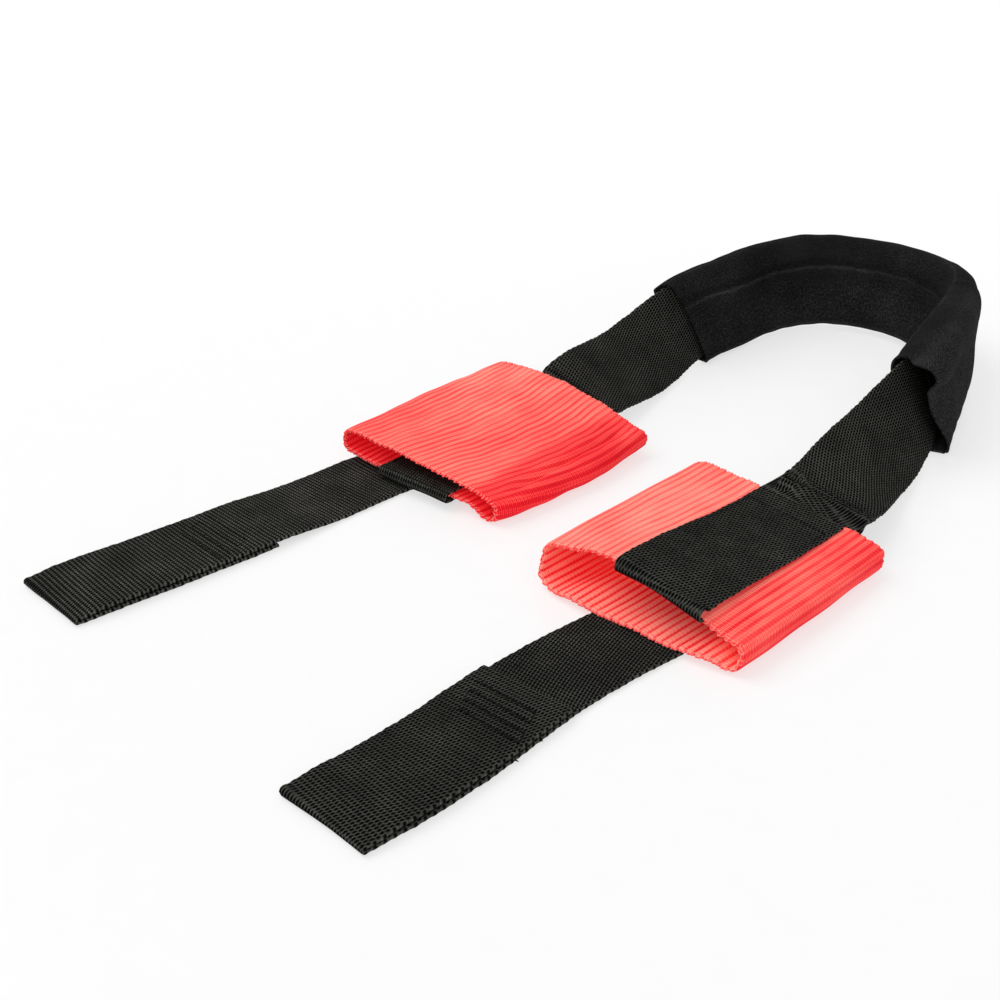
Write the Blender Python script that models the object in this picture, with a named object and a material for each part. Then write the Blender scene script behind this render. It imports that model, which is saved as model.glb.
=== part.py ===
"""Handlebar tie-down harness: a U of flat webbing with a sleeve on its bend, two cuffs and two end loops.

The harness lies on a level surface at z = 0. +Y runs along the U towards its closed end, +X is
towards the right arm and +Z is up. Lengths below are in millimetres until they are placed.
"""
import math

import bmesh
import bpy
import numpy as np
from mathutils import Vector

MM = 0.001

# The drawing below is moved by this much, so that the origin lies under the middle of the harness.
FRAME_SHIFT = (-1.0, 9.0, 0.0)

# Stock materials
WEB_WIDTH = 50.0
WEB_THICK = 2.4
CUFF_WALL = 3.0
CANVAS_THICK = 1.2
THREAD_WIDTH = 1.0
THREAD_HEIGHT = 0.4
GAP = 0.3
LOOP_GAP = 0.8

# Bridge strap from the left cuff's back edge, round the bend, to the right cuff's back edge.
# Each stop is x, y, z of the webbing's middle, and its tilt: 0 lies flat, 90 stands on edge.
STRAP_STOPS = (
    (-86.5, 21.0, 20.5, 25.0),
    (-91.0, 47.0, 20.5, 31.0),
    (-97.5, 78.0, 18.0, 36.0),
    (-103.5, 104.0, 19.5, 46.0),
    (-107.0, 128.0, 24.0, 59.0),
    (-107.0, 150.0, 28.6, 69.0),
    (-106.0, 180.0, 30.0, 74.0),
    (-105.5, 211.0, 31.0, 75.0),
    (-100.0, 237.0, 31.0, 75.0),
    (-86.0, 257.0, 31.0, 74.0),
    (-65.0, 269.0, 31.0, 72.0),
    (-38.0, 273.0, 31.0, 72.0),
    (-11.0, 268.0, 30.0, 76.0),
    (12.0, 251.0, 29.5, 88.0),
    (28.5, 224.0, 29.5, 99.0),
    (42.0, 194.0, 29.5, 107.0),
    (54.0, 163.0, 29.5, 111.0),
    (62.5, 137.0, 27.4, 116.0),
    (67.5, 115.0, 23.5, 126.0),
    (73.0, 91.0, 20.0, 138.0),
    (80.0, 62.0, 20.0, 147.0),
    (88.0, 33.0, 20.5, 160.0),
    (92.0, 10.8, 20.5, 170.0),
)
SAMPLES_PER_STOP = 12
STRAP_STEP = 4.5
HEADING_REACH = 2.0

# The arms swing on upright axes just outside the sleeve, where the webbing bends most easily.
LEFT_SWING_Y = 116.0
RIGHT_SWING_Y = 98.0
SWING_GAP = 4.4

# Sleeve: a loose canvas tube on the bend. Each stop is the share of its length from the left
# mouth, half its flattened width, half its thickness and how far it hangs outside the webbing.
SLEEVE_LEFT_Y = 138.0
SLEEVE_RIGHT_Y = 128.0
SLEEVE_STOPS = (
    (0.00, 27.6, 6.2, 0.2),
    (0.15, 28.0, 6.2, 0.2),
    (0.50, 28.0, 6.2, 0.4),
    (0.72, 28.0, 9.0, 3.0),
    (0.88, 27.8, 9.5, 2.5),
    (1.00, 27.2, 9.5, 2.0),
)
SLEEVE_RING_POINTS = 24
SLEEVE_STEP = 12.0
SLEEVE_SQUARENESS = 0.3
HEM_INSET = 7.0
HEM_LIFT = 0.6

# Cuffs: ribbed webbing bent into a flattened tube, its butted ends joined by a binding strip.
CUFF_LENGTH = 118.0
CUFF_FOLD_POWER = 0.42
CUFF_RING_POINTS = 56
CUFF_DENSE_POINTS = 1440
CUFF_STATIONS = 5
CUFF_SLIT = 1.2
BINDING_WIDTH = 50.0
BINDING_GAP = 0.5
BINDING_BACK_MARGIN = 0.6
BINDING_INNER_SHORT = 14.0
BINDING_STATIONS = 4
BINDING_FOLD_STEPS = 6
BINDING_SLOPE_STEP = 10.0
SEAM_NEAR = 2.0
SEAM_FAR = 8.0
SEAM_HALF_WIDTH = 21.0
EDGE_ROW_INSET = 3.5
END_ROW_INSET = 4.0

# Tails and their end loops
LOOP_LENGTH = 110.0
LOOP_SEWN_LENGTH = 34.0
LOOP_BOX_HALF_WIDTH = 20.0
LOOP_FOLD_STEPS = 6
LOOP_STRAIGHT_START = 4.0
LOOP_END_CLEARANCE = 0.5
FOLD_CLEARANCE = 8.0
LEAD_BEND_RADIUS = 5.0
LEAD_BEND_STEPS = 5
LEAD_BACK_MARGIN = 1.0
LEAD_CLEARANCE = 3.0
FOLD_GAP = 1.3
RAMP_LENGTH = 12.0
RAMP_STEPS = 4
RAMP_RUN_OUT = 6.0
TAIL_STATIONS = 6


class Side:
    """One end of the harness: its cuff, its tail and the way the pieces are stacked there."""

    def __init__(self, name, cuff_centre, cuff_turn, cuff_half_width, heights, binding_u, binding_on_top,
                 lean, drops, tail_tip, tail_mouth, bows, fold_back_on_top):
        self.name = name
        self.cuff_centre = cuff_centre
        self.turn = math.radians(cuff_turn)
        self.half_width = cuff_half_width
        self.heights = heights
        self.binding_u = binding_u
        self.binding_on_top = binding_on_top
        self.lean = lean
        self.drops = drops
        self.tail_tip = tail_tip
        self.tail_mouth = tail_mouth
        self.bows = bows
        self.fold_back_on_top = fold_back_on_top

    def place(self, u, v, z):
        """A point of the cuff's own frame (u across, v towards the arm) in the harness's frame."""
        v = v + self.lean * z / max(self.heights[0])
        cos_turn = math.cos(self.turn)
        sin_turn = math.sin(self.turn)
        x = self.cuff_centre[0] + u * cos_turn - v * sin_turn
        y = self.cuff_centre[1] + u * sin_turn + v * cos_turn
        return np.array((x, y, z))

    def direction(self, u, v, z):
        """A direction of the cuff's own frame in the harness's frame."""
        return self.place(u, v, z) - self.place(0.0, 0.0, 0.0)

    def bottom(self):
        """Height of the bottom wall's middle where it lies on the strap."""
        stack = WEB_THICK + GAP + CUFF_WALL / 2
        if not self.binding_on_top:
            stack += WEB_THICK + BINDING_GAP
        return stack

    def wall(self, u, v, top):
        """Height of the top or bottom wall's middle at a place on the cuff."""
        if not top:
            reach = max((u - start) / (end - start) for start, end in self.drops)
            reach = min(max(reach, 0.0), 1.0)
            ease = reach * reach * (3.0 - 2.0 * reach)
            lowest = GAP + CUFF_WALL / 2
            return self.bottom() + (lowest - self.bottom()) * ease
        along = (v + CUFF_LENGTH / 2) / CUFF_LENGTH
        front, back = self.heights
        left = front[0] + (back[0] - front[0]) * along
        right = front[1] + (back[1] - front[1]) * along
        across = (u + self.half_width) / (2 * self.half_width)
        return left + (right - left) * across - CUFF_WALL / 2


LEFT = Side("left", (-81.5, -43.0), 5.5, 53.0, ((23.0, 14.0), (28.0, 17.0)), -4.0, False, 2.0,
            ((28.0, 46.0),), (-112.0, -300.0), (-111.5, -106.0), (3.0, 0.0), False)
RIGHT = Side("right", (82.0, -60.0), 4.5, 56.0, ((25.0, 15.0), (25.0, 15.0)), 13.0, True, 8.0,
             ((-27.0, -47.0), (42.0, 54.0)), (98.5, -303.0), (89.5, -120.0), (0.0, 2.5), True)

# Colours as red, green, blue, with roughness and metallic
BLACK_WEBBING = ("black_webbing", (0.022, 0.024, 0.026), 0.85, 0.0)
RED_WEBBING = ("red_webbing", (0.82, 0.07, 0.08), 0.7, 0.0)
BLACK_CANVAS = ("black_canvas", (0.025, 0.026, 0.028), 0.95, 0.0)
BLACK_THREAD = ("black_thread", (0.015, 0.015, 0.017), 0.6, 0.0)


def clear_scene():
    """Remove every object that the opened file holds."""
    for item in list(bpy.data.objects):
        bpy.data.objects.remove(item, do_unlink=True)


def material(look):
    """The Principled material for one look, made once and shared."""
    name, colour, roughness, metallic = look
    found = bpy.data.materials.get(name)
    if found:
        return found
    made = bpy.data.materials.new(name)
    made.use_nodes = True
    shader = made.node_tree.nodes["Principled BSDF"]
    shader.inputs["Base Color"].default_value = (*colour, 1.0)
    shader.inputs["Roughness"].default_value = roughness
    shader.inputs["Metallic"].default_value = metallic
    made.diffuse_color = (*colour, 1.0)
    return made


def finish(name, bm, look, origin=(0.0, 0.0, 0.0), smooth_angle=40.0):
    """Close a bmesh into a named object with its origin at a point given in millimetres."""
    bmesh.ops.triangulate(bm, faces=bm.faces[:])
    bmesh.ops.recalc_face_normals(bm, faces=bm.faces[:])
    start = Vector(origin) * MM
    bmesh.ops.translate(bm, vec=-start, verts=bm.verts[:])
    start += Vector(FRAME_SHIFT) * MM
    mesh = bpy.data.meshes.new(name)
    bm.to_mesh(mesh)
    bm.free()
    mesh.materials.append(material(look))
    mesh.shade_smooth()
    mesh.set_sharp_from_angle(angle=math.radians(smooth_angle))
    item = bpy.data.objects.new(name, mesh)
    item.location = start
    bpy.context.collection.objects.link(item)
    return item


def add_loft(bm, rings):
    """Skin a row of matching rings and cap both ends."""
    rows = [[bm.verts.new(Vector(point) * MM) for point in ring] for ring in rings]
    count = len(rows[0])
    for near, far in zip(rows, rows[1:]):
        for i in range(count):
            j = (i + 1) % count
            bm.faces.new((near[i], near[j], far[j], far[i]))
    bm.faces.new(rows[0])
    bm.faces.new(rows[-1])


def add_tube(bm, outer_rings, inner_rings, slit=False):
    """Skin a thin-walled tube from outer and inner rings; a slit leaves it open along its length."""
    outer = [[bm.verts.new(Vector(point) * MM) for point in ring] for ring in outer_rings]
    inner = [[bm.verts.new(Vector(point) * MM) for point in ring] for ring in inner_rings]
    count = len(outer[0])
    spans = count - 1 if slit else count
    for rows in (outer, inner):
        for near, far in zip(rows, rows[1:]):
            for i in range(spans):
                j = (i + 1) % count
                bm.faces.new((near[i], near[j], far[j], far[i]))
    for end in (0, -1):
        for i in range(spans):
            j = (i + 1) % count
            bm.faces.new((outer[end][i], outer[end][j], inner[end][j], inner[end][i]))
    if slit:
        for edge in (0, -1):
            for k in range(len(outer) - 1):
                bm.faces.new((outer[k][edge], outer[k + 1][edge], inner[k + 1][edge], inner[k][edge]))


def unit(vector):
    """A vector scaled to length one."""
    return vector / np.linalg.norm(vector)


def band_rings(path, across, width, thick):
    """Rectangular rings of flat webbing along a path, given the direction across it at each point."""
    along = np.gradient(path, axis=0)
    rings = []
    for centre, ahead, side in zip(path, along, across):
        side = unit(side)
        face = unit(np.cross(unit(ahead), side))
        side = side * width / 2
        face = face * thick / 2
        rings.append((centre - side - face, centre + side - face, centre + side + face, centre - side + face))
    return rings


def band(name, path, across, look=BLACK_WEBBING, width=WEB_WIDTH, thick=WEB_THICK, origin=(0.0, 0.0, 0.0)):
    """A named piece of flat webbing."""
    bm = bmesh.new()
    add_loft(bm, band_rings(np.array(path), np.array(across), width, thick))
    return finish(name, bm, look, origin)


def smooth_stops(stops):
    """A Catmull-Rom curve through a row of stops, sampled evenly between each two."""
    points = np.array(stops)
    padded = np.vstack((2 * points[0] - points[1], points, 2 * points[-1] - points[-2]))
    found = []
    for before, start, end, after in zip(padded, padded[1:], padded[2:], padded[3:]):
        for t in np.linspace(0.0, 1.0, SAMPLES_PER_STOP, endpoint=False):
            bend = (2 * before - 5 * start + 4 * end - after) * t ** 2
            bend += (3 * start - before - 3 * end + after) * t ** 3
            found.append(start + 0.5 * ((end - before) * t + bend))
    found.append(points[-1])
    return np.array(found)


class Route:
    """The bridge strap's middle line with its tilt, measured by length along it."""

    def __init__(self, stops):
        self.points = smooth_stops(stops)
        steps = np.linalg.norm(np.diff(self.points[:, :3], axis=0), axis=1)
        self.reach = np.concatenate(((0.0,), np.cumsum(steps)))
        self.length = self.reach[-1]

    def at(self, s):
        """Middle, direction across (towards the upper edge) and outer face direction at length s."""
        here = np.array([np.interp(s, self.reach, self.points[:, k]) for k in range(4)])
        ends = np.clip((s - HEADING_REACH, s + HEADING_REACH), 0.0, self.length)
        low, high = (np.array([np.interp(e, self.reach, self.points[:, k]) for k in range(3)]) for e in ends)
        ahead = unit(high - low)
        outward = unit(np.array((-ahead[1], ahead[0], 0.0)))
        tilt = math.radians(here[3])
        across = outward * math.cos(tilt) + np.array((0.0, 0.0, math.sin(tilt)))
        across = unit(across - ahead * np.dot(across, ahead))
        face = unit(np.cross(across, ahead))
        return here[:3], across, face

    def where_y(self, y, right):
        """Length along the route at which one of its two arms passes a given y."""
        half = len(self.points) // 2
        rows = range(half, len(self.points)) if right else range(half)
        best = min(rows, key=lambda k: abs(self.points[k, 1] - y))
        return self.reach[best]

    def stretch(self, start, end, step):
        """Evenly spaced lengths from start to end."""
        count = max(2, round((end - start) / step) + 1)
        return np.linspace(start, end, count)


ROUTE = Route(STRAP_STOPS)


def strap_stretch(name, start, end, origin):
    """The bridge strap between two lengths along its route."""
    path = []
    across = []
    for s in ROUTE.stretch(start, end, STRAP_STEP):
        middle, side, _ = ROUTE.at(s)
        path.append(middle)
        across.append(side)
    return band(name, path, across, origin=origin)


def build_bridge():
    """The strap through the sleeve, and the two arms that swing beside it."""
    left = ROUTE.where_y(LEFT_SWING_Y, right=False)
    right = ROUTE.where_y(RIGHT_SWING_Y, right=True)
    half = SWING_GAP / 2
    strap_stretch("bridge_strap", left + half, right - half, (0.0, 0.0, 0.0))
    strap_stretch("left_arm_strap", 0.0, left - half, ROUTE.at(left)[0])
    strap_stretch("right_arm_strap", right + half, ROUTE.length, ROUTE.at(right)[0])


def sleeve_section(s, share, shrink):
    """One ring of the sleeve: a flattened round whose long way follows the webbing's width."""
    middle, across, face = ROUTE.at(s)
    shares = [stop[0] for stop in SLEEVE_STOPS]
    half_width, half_thick, outside = (
        np.interp(share, shares, [stop[k] for stop in SLEEVE_STOPS]) for k in (1, 2, 3)
    )
    centre = middle + face * outside
    ring = []
    for k in range(SLEEVE_RING_POINTS):
        angle = 2 * math.pi * k / SLEEVE_RING_POINTS
        wide = math.copysign(abs(math.cos(angle)) ** SLEEVE_SQUARENESS, math.cos(angle))
        deep = math.copysign(abs(math.sin(angle)) ** SLEEVE_SQUARENESS, math.sin(angle))
        ring.append(centre + across * wide * (half_width - shrink) + face * deep * (half_thick - shrink))
    return ring


def sleeve_range():
    """Where the sleeve starts and ends along the strap."""
    return ROUTE.where_y(SLEEVE_LEFT_Y, right=False), ROUTE.where_y(SLEEVE_RIGHT_Y, right=True)


def build_sleeve():
    """The loose canvas tube and its thread rows."""
    start, end = sleeve_range()
    outer = []
    inner = []
    for s in ROUTE.stretch(start, end, SLEEVE_STEP):
        share = (s - start) / (end - start)
        outer.append(sleeve_section(s, share, 0.0))
        inner.append(sleeve_section(s, share, CANVAS_THICK))
    bm = bmesh.new()
    add_tube(bm, outer, inner)
    finish("sleeve", bm, BLACK_CANVAS, smooth_angle=60.0)
    for name, s in (("left", start + HEM_INSET), ("right", end - HEM_INSET)):
        rings = []
        for side in (-THREAD_WIDTH / 2, THREAD_WIDTH / 2):
            share = (s + side - start) / (end - start)
            rings.append((sleeve_section(s + side, share, -HEM_LIFT - THREAD_HEIGHT),
                          sleeve_section(s + side, share, -HEM_LIFT)))
        bm = bmesh.new()
        add_tube(bm, [ring[0] for ring in rings], [ring[1] for ring in rings])
        finish(f"sleeve_{name}_hem_stitching", bm, BLACK_THREAD)


def cuff_loop(side, v):
    """The middle line of the cuff's wall at v, as points evenly spaced from one side of its slit."""
    dense = []
    for k in range(CUFF_DENSE_POINTS):
        angle = 2 * math.pi * k / CUFF_DENSE_POINTS
        wide = math.copysign(abs(math.cos(angle)) ** CUFF_FOLD_POWER, math.cos(angle))
        high = math.copysign(abs(math.sin(angle)) ** CUFF_FOLD_POWER, math.sin(angle))
        u = wide * (side.half_width - CUFF_WALL / 2)
        top = side.wall(u, v, True)
        low = side.wall(u, v, False)
        dense.append((u, (top + low) / 2 + high * (top - low) / 2, high))
    dense = np.array(dense)
    wanted = 1.0 if side.binding_on_top else -1.0
    on_face = dense[:, 2] * wanted > 0.5
    distance = np.where(on_face, abs(dense[:, 0] - side.binding_u), np.inf)
    dense = np.roll(dense, -int(np.argmin(distance)), axis=0)
    closed = np.vstack((dense, dense[:1]))[:, :2]
    reach = np.concatenate(((0.0,), np.cumsum(np.linalg.norm(np.diff(closed, axis=0), axis=1))))
    wanted_reach = np.linspace(CUFF_SLIT / 2, reach[-1] - CUFF_SLIT / 2, CUFF_RING_POINTS)
    return np.stack([np.interp(wanted_reach, reach, closed[:, k]) for k in (0, 1)], axis=1)


def cuff_stations():
    """Places along the cuff, front to back."""
    return np.linspace(-CUFF_LENGTH / 2, CUFF_LENGTH / 2, CUFF_STATIONS)


def build_cuff(side):
    """The ribbed webbing tube, open along the slit that its binding covers."""
    outer = []
    inner = []
    for v in cuff_stations():
        loop = cuff_loop(side, v)
        ahead = np.gradient(loop, axis=0)
        normal = np.stack((ahead[:, 1], -ahead[:, 0]), axis=1)
        normal /= np.linalg.norm(normal, axis=1)[:, None]
        for rings, offset in ((outer, CUFF_WALL / 2), (inner, -CUFF_WALL / 2)):
            rings.append([side.place(u, v, z) for u, z in loop + normal * offset])
    bm = bmesh.new()
    add_tube(bm, outer, inner, slit=True)
    finish(f"{side.name}_cuff", bm, RED_WEBBING, seam_axis_point(side), smooth_angle=60.0)


def seam_axis_point(side):
    """The middle of the line at the top of the cuff's back edge, about which the cuff lifts."""
    return side.place(0.0, CUFF_LENGTH / 2, max(side.heights[1]) + GAP)


def binding_layer_height(side, v, outside):
    """Height of a binding layer's middle, outside or inside the cuff's wall, at its centre."""
    step = CUFF_WALL / 2 + BINDING_GAP + WEB_THICK / 2
    up = 1.0 if outside == side.binding_on_top else -1.0
    return side.wall(side.binding_u, v, side.binding_on_top) + up * step


def build_binding(side):
    """The strip over the cuff's butted ends: outside, round the front edge and back inside."""
    front = -CUFF_LENGTH / 2 - BINDING_GAP
    outer_back = CUFF_LENGTH / 2 - BINDING_BACK_MARGIN
    inner_back = outer_back - BINDING_INNER_SHORT
    path = []
    for v in np.linspace(outer_back, front, BINDING_STATIONS):
        path.append((v, binding_layer_height(side, v, True)))
    outside = path[-1][1]
    inside = binding_layer_height(side, front, False)
    radius = (outside - inside) / 2
    for k in range(1, BINDING_FOLD_STEPS):
        angle = math.pi * k / BINDING_FOLD_STEPS
        height = (outside + inside) / 2 + radius * math.cos(angle)
        path.append((front - abs(radius) * math.sin(angle), height))
    for v in np.linspace(front, inner_back, BINDING_STATIONS):
        path.append((v, binding_layer_height(side, v, False)))
    places = []
    across = []
    for v, z in path:
        reach = min(max(v, front), outer_back)
        rise = side.wall(side.binding_u + BINDING_SLOPE_STEP, reach, side.binding_on_top)
        rise -= side.wall(side.binding_u, reach, side.binding_on_top)
        places.append(side.place(side.binding_u, v, z))
        across.append(side.direction(BINDING_SLOPE_STEP, 0.0, rise))
    band(f"{side.name}_cuff_binding", places, across, width=BINDING_WIDTH, origin=seam_axis_point(side))


def thread_box(name, outer_corners, inner_corners, lift, origin):
    """A closed rectangle of thread between outer and inner corners, standing on its face."""
    bm = bmesh.new()
    half = lift * THREAD_HEIGHT / 2
    outer = [[corner - half for corner in outer_corners], [corner + half for corner in outer_corners]]
    inner = [[corner - half for corner in inner_corners], [corner + half for corner in inner_corners]]
    add_tube(bm, outer, inner)
    finish(name, bm, BLACK_THREAD, origin)


def build_cuff_stitching(side):
    """The thread rectangle near the edges of the binding, on its open face."""
    lift = WEB_THICK / 2 + GAP + THREAD_HEIGHT / 2
    front = -CUFF_LENGTH / 2 + END_ROW_INSET
    back = CUFF_LENGTH / 2 - BINDING_INNER_SHORT - END_ROW_INSET
    boxes = []
    for grow in (0.0, THREAD_WIDTH):
        reach = BINDING_WIDTH / 2 - EDGE_ROW_INSET - grow
        corners = []
        near = front + grow
        far = back - grow
        for u_step, v in ((-reach, near), (reach, near), (reach, far), (-reach, far)):
            u = side.binding_u + u_step
            rise = side.wall(u, v, side.binding_on_top) - side.wall(side.binding_u, v, side.binding_on_top)
            height = binding_layer_height(side, v, side.binding_on_top) + rise + lift
            corners.append(side.place(u, v, height))
        boxes.append(corners)
    thread_box(f"{side.name}_cuff_stitching", *boxes, np.array((0.0, 0.0, 1.0)), seam_axis_point(side))


def build_seam_stitching(side):
    """The thread rectangle across the arm's end, where strap, binding and lead are sewn together."""
    boxes = []
    for grow in (0.0, THREAD_WIDTH):
        corners = []
        near = SEAM_NEAR + grow
        far = SEAM_FAR - grow
        for inset, reach in ((near, -1.0), (far, -1.0), (far, 1.0), (near, 1.0)):
            s = inset if side is LEFT else ROUTE.length - inset
            middle, across, face = ROUTE.at(s)
            face = face * math.copysign(1.0, face[2])
            lift = WEB_THICK / 2 + 3 * GAP + THREAD_HEIGHT / 2
            corners.append(middle + face * lift + across * reach * (SEAM_HALF_WIDTH - grow))
        boxes.append(corners)
    thread_box(f"{side.name}_seam_stitching", *boxes, face, (0.0, 0.0, 0.0))


def tail_frame(side):
    """The tail's direction towards its cuff, and the direction across it."""
    tip = np.array((*side.tail_tip, 0.0))
    mouth = np.array((*side.tail_mouth, 0.0))
    ahead = unit(mouth - tip)
    return tip, ahead, np.array((ahead[1], -ahead[0], 0.0))


def fold_line(side):
    """How far from its tip the tail folds, just ahead of the cuff's mouth."""
    tip, ahead, _ = tail_frame(side)
    return float(np.dot(np.array((*side.tail_mouth, 0.0)) - tip, ahead)) - FOLD_CLEARANCE


def build_lead(side):
    """The strap under the cuff, with its end turned up behind the cuff to the sewn seam."""
    tip, ahead, across = tail_frame(side)
    start = tip + ahead * (fold_line(side) + FOLD_GAP)
    seam, seam_across, face = ROUTE.at(0.0 if side is LEFT else ROUTE.length)
    seam_across = seam_across * math.copysign(1.0, seam_across[0])
    flat_across = unit(np.array((seam_across[0], seam_across[1], 0.0)))
    back = unit(np.array((-flat_across[1], flat_across[0], 0.0)))
    floor = np.array((0.0, 0.0, WEB_THICK / 2))
    up = np.array((0.0, 0.0, 1.0))
    edge = np.array((seam[0], seam[1], 0.0)) + back * LEAD_BACK_MARGIN
    radius = LEAD_BEND_RADIUS
    path = [start + floor, (start + edge) / 2 + floor, edge + floor]
    sides = [across, flat_across, flat_across]
    for k in range(1, LEAD_BEND_STEPS + 1):
        angle = math.pi / 2 * k / LEAD_BEND_STEPS
        path.append(edge + floor + back * radius * math.sin(angle) + up * radius * (1.0 - math.cos(angle)))
        sides.append(flat_across)
    half_drop = abs(seam_across[2]) * WEB_WIDTH / 2
    ceiling = seam[2] - half_drop - WEB_THICK / 2 - LEAD_CLEARANCE
    top = path[-1].copy()
    top[2] = max(ceiling, top[2] + 1.0)
    path.append(top)
    sides.append(flat_across)
    band(f"{side.name}_lead_strap", path, sides)


def build_tail(side):
    """The tail, the loop sewn at its end and the thread box that closes the loop."""
    tip, ahead, across = tail_frame(side)
    fold = fold_line(side)
    low = WEB_THICK / 2
    high = low + WEB_THICK + LOOP_GAP
    nose = (high - low) / 2
    main_layer, back_layer = (low, high) if side.fold_back_on_top else (high, low)
    hinge = tip + ahead * fold + np.array((0.0, 0.0, low))

    def at(distance, z):
        share = min(max(distance / fold, 0.0), 1.0)
        bow = side.bows[0] * math.sin(math.pi * share) + side.bows[1] * math.sin(2 * math.pi * share)
        return tip + ahead * distance + across * bow + np.array((0.0, 0.0, z))

    nose_reach = nose + WEB_THICK / 2
    start = nose_reach + 2 * GAP
    path = [at(distance, main_layer) for distance in np.linspace(start, LOOP_LENGTH, TAIL_STATIONS)]
    if main_layer > low:
        for k in range(1, RAMP_STEPS + 1):
            share = k / RAMP_STEPS
            ease = 0.5 - 0.5 * math.cos(math.pi * share)
            path.append(at(LOOP_LENGTH + RAMP_LENGTH * share, main_layer + (low - main_layer) * ease))
    run_out = LOOP_LENGTH + RAMP_LENGTH + RAMP_RUN_OUT
    path += [at(distance, low) for distance in np.linspace(run_out, fold - FOLD_GAP, TAIL_STATIONS)]
    band(f"{side.name}_tail_strap", path, [across] * len(path), origin=hinge)

    middle = (low + high) / 2
    swing = 1.0 if side.fold_back_on_top else -1.0
    path = []
    for k in range(LOOP_FOLD_STEPS + 1):
        angle = math.pi * k / LOOP_FOLD_STEPS
        path.append(at(nose_reach - nose * math.sin(angle), middle - swing * nose * math.cos(angle)))
    start = nose_reach + LOOP_STRAIGHT_START
    end = LOOP_LENGTH - LOOP_END_CLEARANCE
    path += [at(distance, back_layer) for distance in np.linspace(start, end, TAIL_STATIONS)]
    band(f"{side.name}_end_loop", path, [across] * len(path), origin=hinge)

    top = high + WEB_THICK / 2 + GAP + THREAD_HEIGHT / 2
    boxes = []
    for grow in (0.0, THREAD_WIDTH):
        reach = LOOP_BOX_HALF_WIDTH - grow
        near = LOOP_LENGTH - LOOP_SEWN_LENGTH + grow
        far = LOOP_LENGTH - END_ROW_INSET - grow
        corners = ((near, -reach), (near, reach), (far, reach), (far, -reach))
        boxes.append([at(distance, top) + across * shift for distance, shift in corners])
    thread_box(f"{side.name}_loop_stitching", *boxes, np.array((0.0, 0.0, 1.0)), hinge)


def main():
    """Build every piece of the harness."""
    clear_scene()
    build_bridge()
    build_sleeve()
    for side in (LEFT, RIGHT):
        build_cuff(side)
        build_binding(side)
        build_cuff_stitching(side)
        build_seam_stitching(side)
        build_lead(side)
        build_tail(side)


main()
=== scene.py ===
"""Looks of the handlebar tie-down harness: woven straps, ribbed cuffs, canvas sleeve and thread.

Lengths are millimetres in the harness's own drawing, whose origin is moved by FRAME_SHIFT.
"""

import math

import bmesh
import bpy
import numpy as np
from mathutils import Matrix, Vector


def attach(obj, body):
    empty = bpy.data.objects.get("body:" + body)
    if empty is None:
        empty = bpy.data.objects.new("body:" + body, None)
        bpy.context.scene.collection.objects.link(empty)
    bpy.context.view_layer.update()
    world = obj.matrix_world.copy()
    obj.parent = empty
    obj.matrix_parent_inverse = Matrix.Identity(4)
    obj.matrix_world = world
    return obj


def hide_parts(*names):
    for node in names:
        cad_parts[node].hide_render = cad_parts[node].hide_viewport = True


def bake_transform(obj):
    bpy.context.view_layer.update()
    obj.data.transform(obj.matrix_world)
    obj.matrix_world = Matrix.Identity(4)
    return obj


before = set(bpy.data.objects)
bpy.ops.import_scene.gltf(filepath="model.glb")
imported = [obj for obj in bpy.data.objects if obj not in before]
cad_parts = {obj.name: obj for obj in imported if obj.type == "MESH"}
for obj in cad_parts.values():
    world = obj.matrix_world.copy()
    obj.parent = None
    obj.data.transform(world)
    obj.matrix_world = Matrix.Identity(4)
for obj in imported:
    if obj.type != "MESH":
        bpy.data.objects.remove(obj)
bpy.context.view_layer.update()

MM = 0.001
FRAME_SHIFT = np.array((-1.0, 9.0, 0.0))

# Camera: place in metres, the way it looks and its lens
CAMERA_PLACE = (0.476, -0.555, 0.3746)
CAMERA_HEADING = math.radians(47.0)
CAMERA_DIP = math.radians(27.6)
CAMERA_LENS = 55.73
CAMERA_SENSOR = 36.0

# Light and floor: sun lamps as name, direction, spread in degrees and strength
SUNS = (("key", (0.75, 0.25, -1.0), 50.0, 1.5), ("front", (-0.62, 0.75, -0.55), 60.0, 1.1))
SKY_STRENGTH = 0.62
FLOOR_REACH = 60.0
FLOOR_GLOW = 0.63

# Webbing, as the frame's straps; its crosswise ribs, and the rows of points that draw one rib
WEB_WIDTH = 50.0
WEB_THICK = 2.4
RIB_PITCH = 2.25
RIB_HEIGHT = 0.13
RIB_PHASES = (0.0, 0.13, 0.32, 0.5, 0.68, 0.87)
GRAIN_PITCH = 1.72
SCALLOP_DEPTH = 0.28
SELVEDGE_ROUNDING = 1.1
ACROSS_POINTS = 19
FLOOR_TOUCH = 0.05
LINE_STEP = 0.4
ROUTE_STEP = 2.0
WANDER_WAVES = 5

# Clearances: between layers that lie on each other, under a strap, and of a thread on its cloth
GAP = 0.3
TOUCH = 0.1
THREAD_LIFT = 0.05

# Threads: spacing of a row's stitches, the share that each fills, and the radius of each kind
STITCH_PITCH = 3.2
STITCH_FILL = 0.72
LOOP_THREAD = {"left": 0.16, "right": 0.28}
SEAM_THREAD = 0.25
CUFF_THREAD = 0.22
EDGE_THREAD = 0.2

# Starting numbers of the small random variations
BRIDGE_SEED = 3
ARM_SEED = {"left": 5, "right": 6}
TAIL_SEED = {"left": 8, "right": 9}
CUFF_SEED = {"left": 11, "right": 23}
BINDING_SEED = {"left": 41, "right": 43}
LOOP_ROW_SEED = 61
EDGE_SEED = 71

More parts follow.
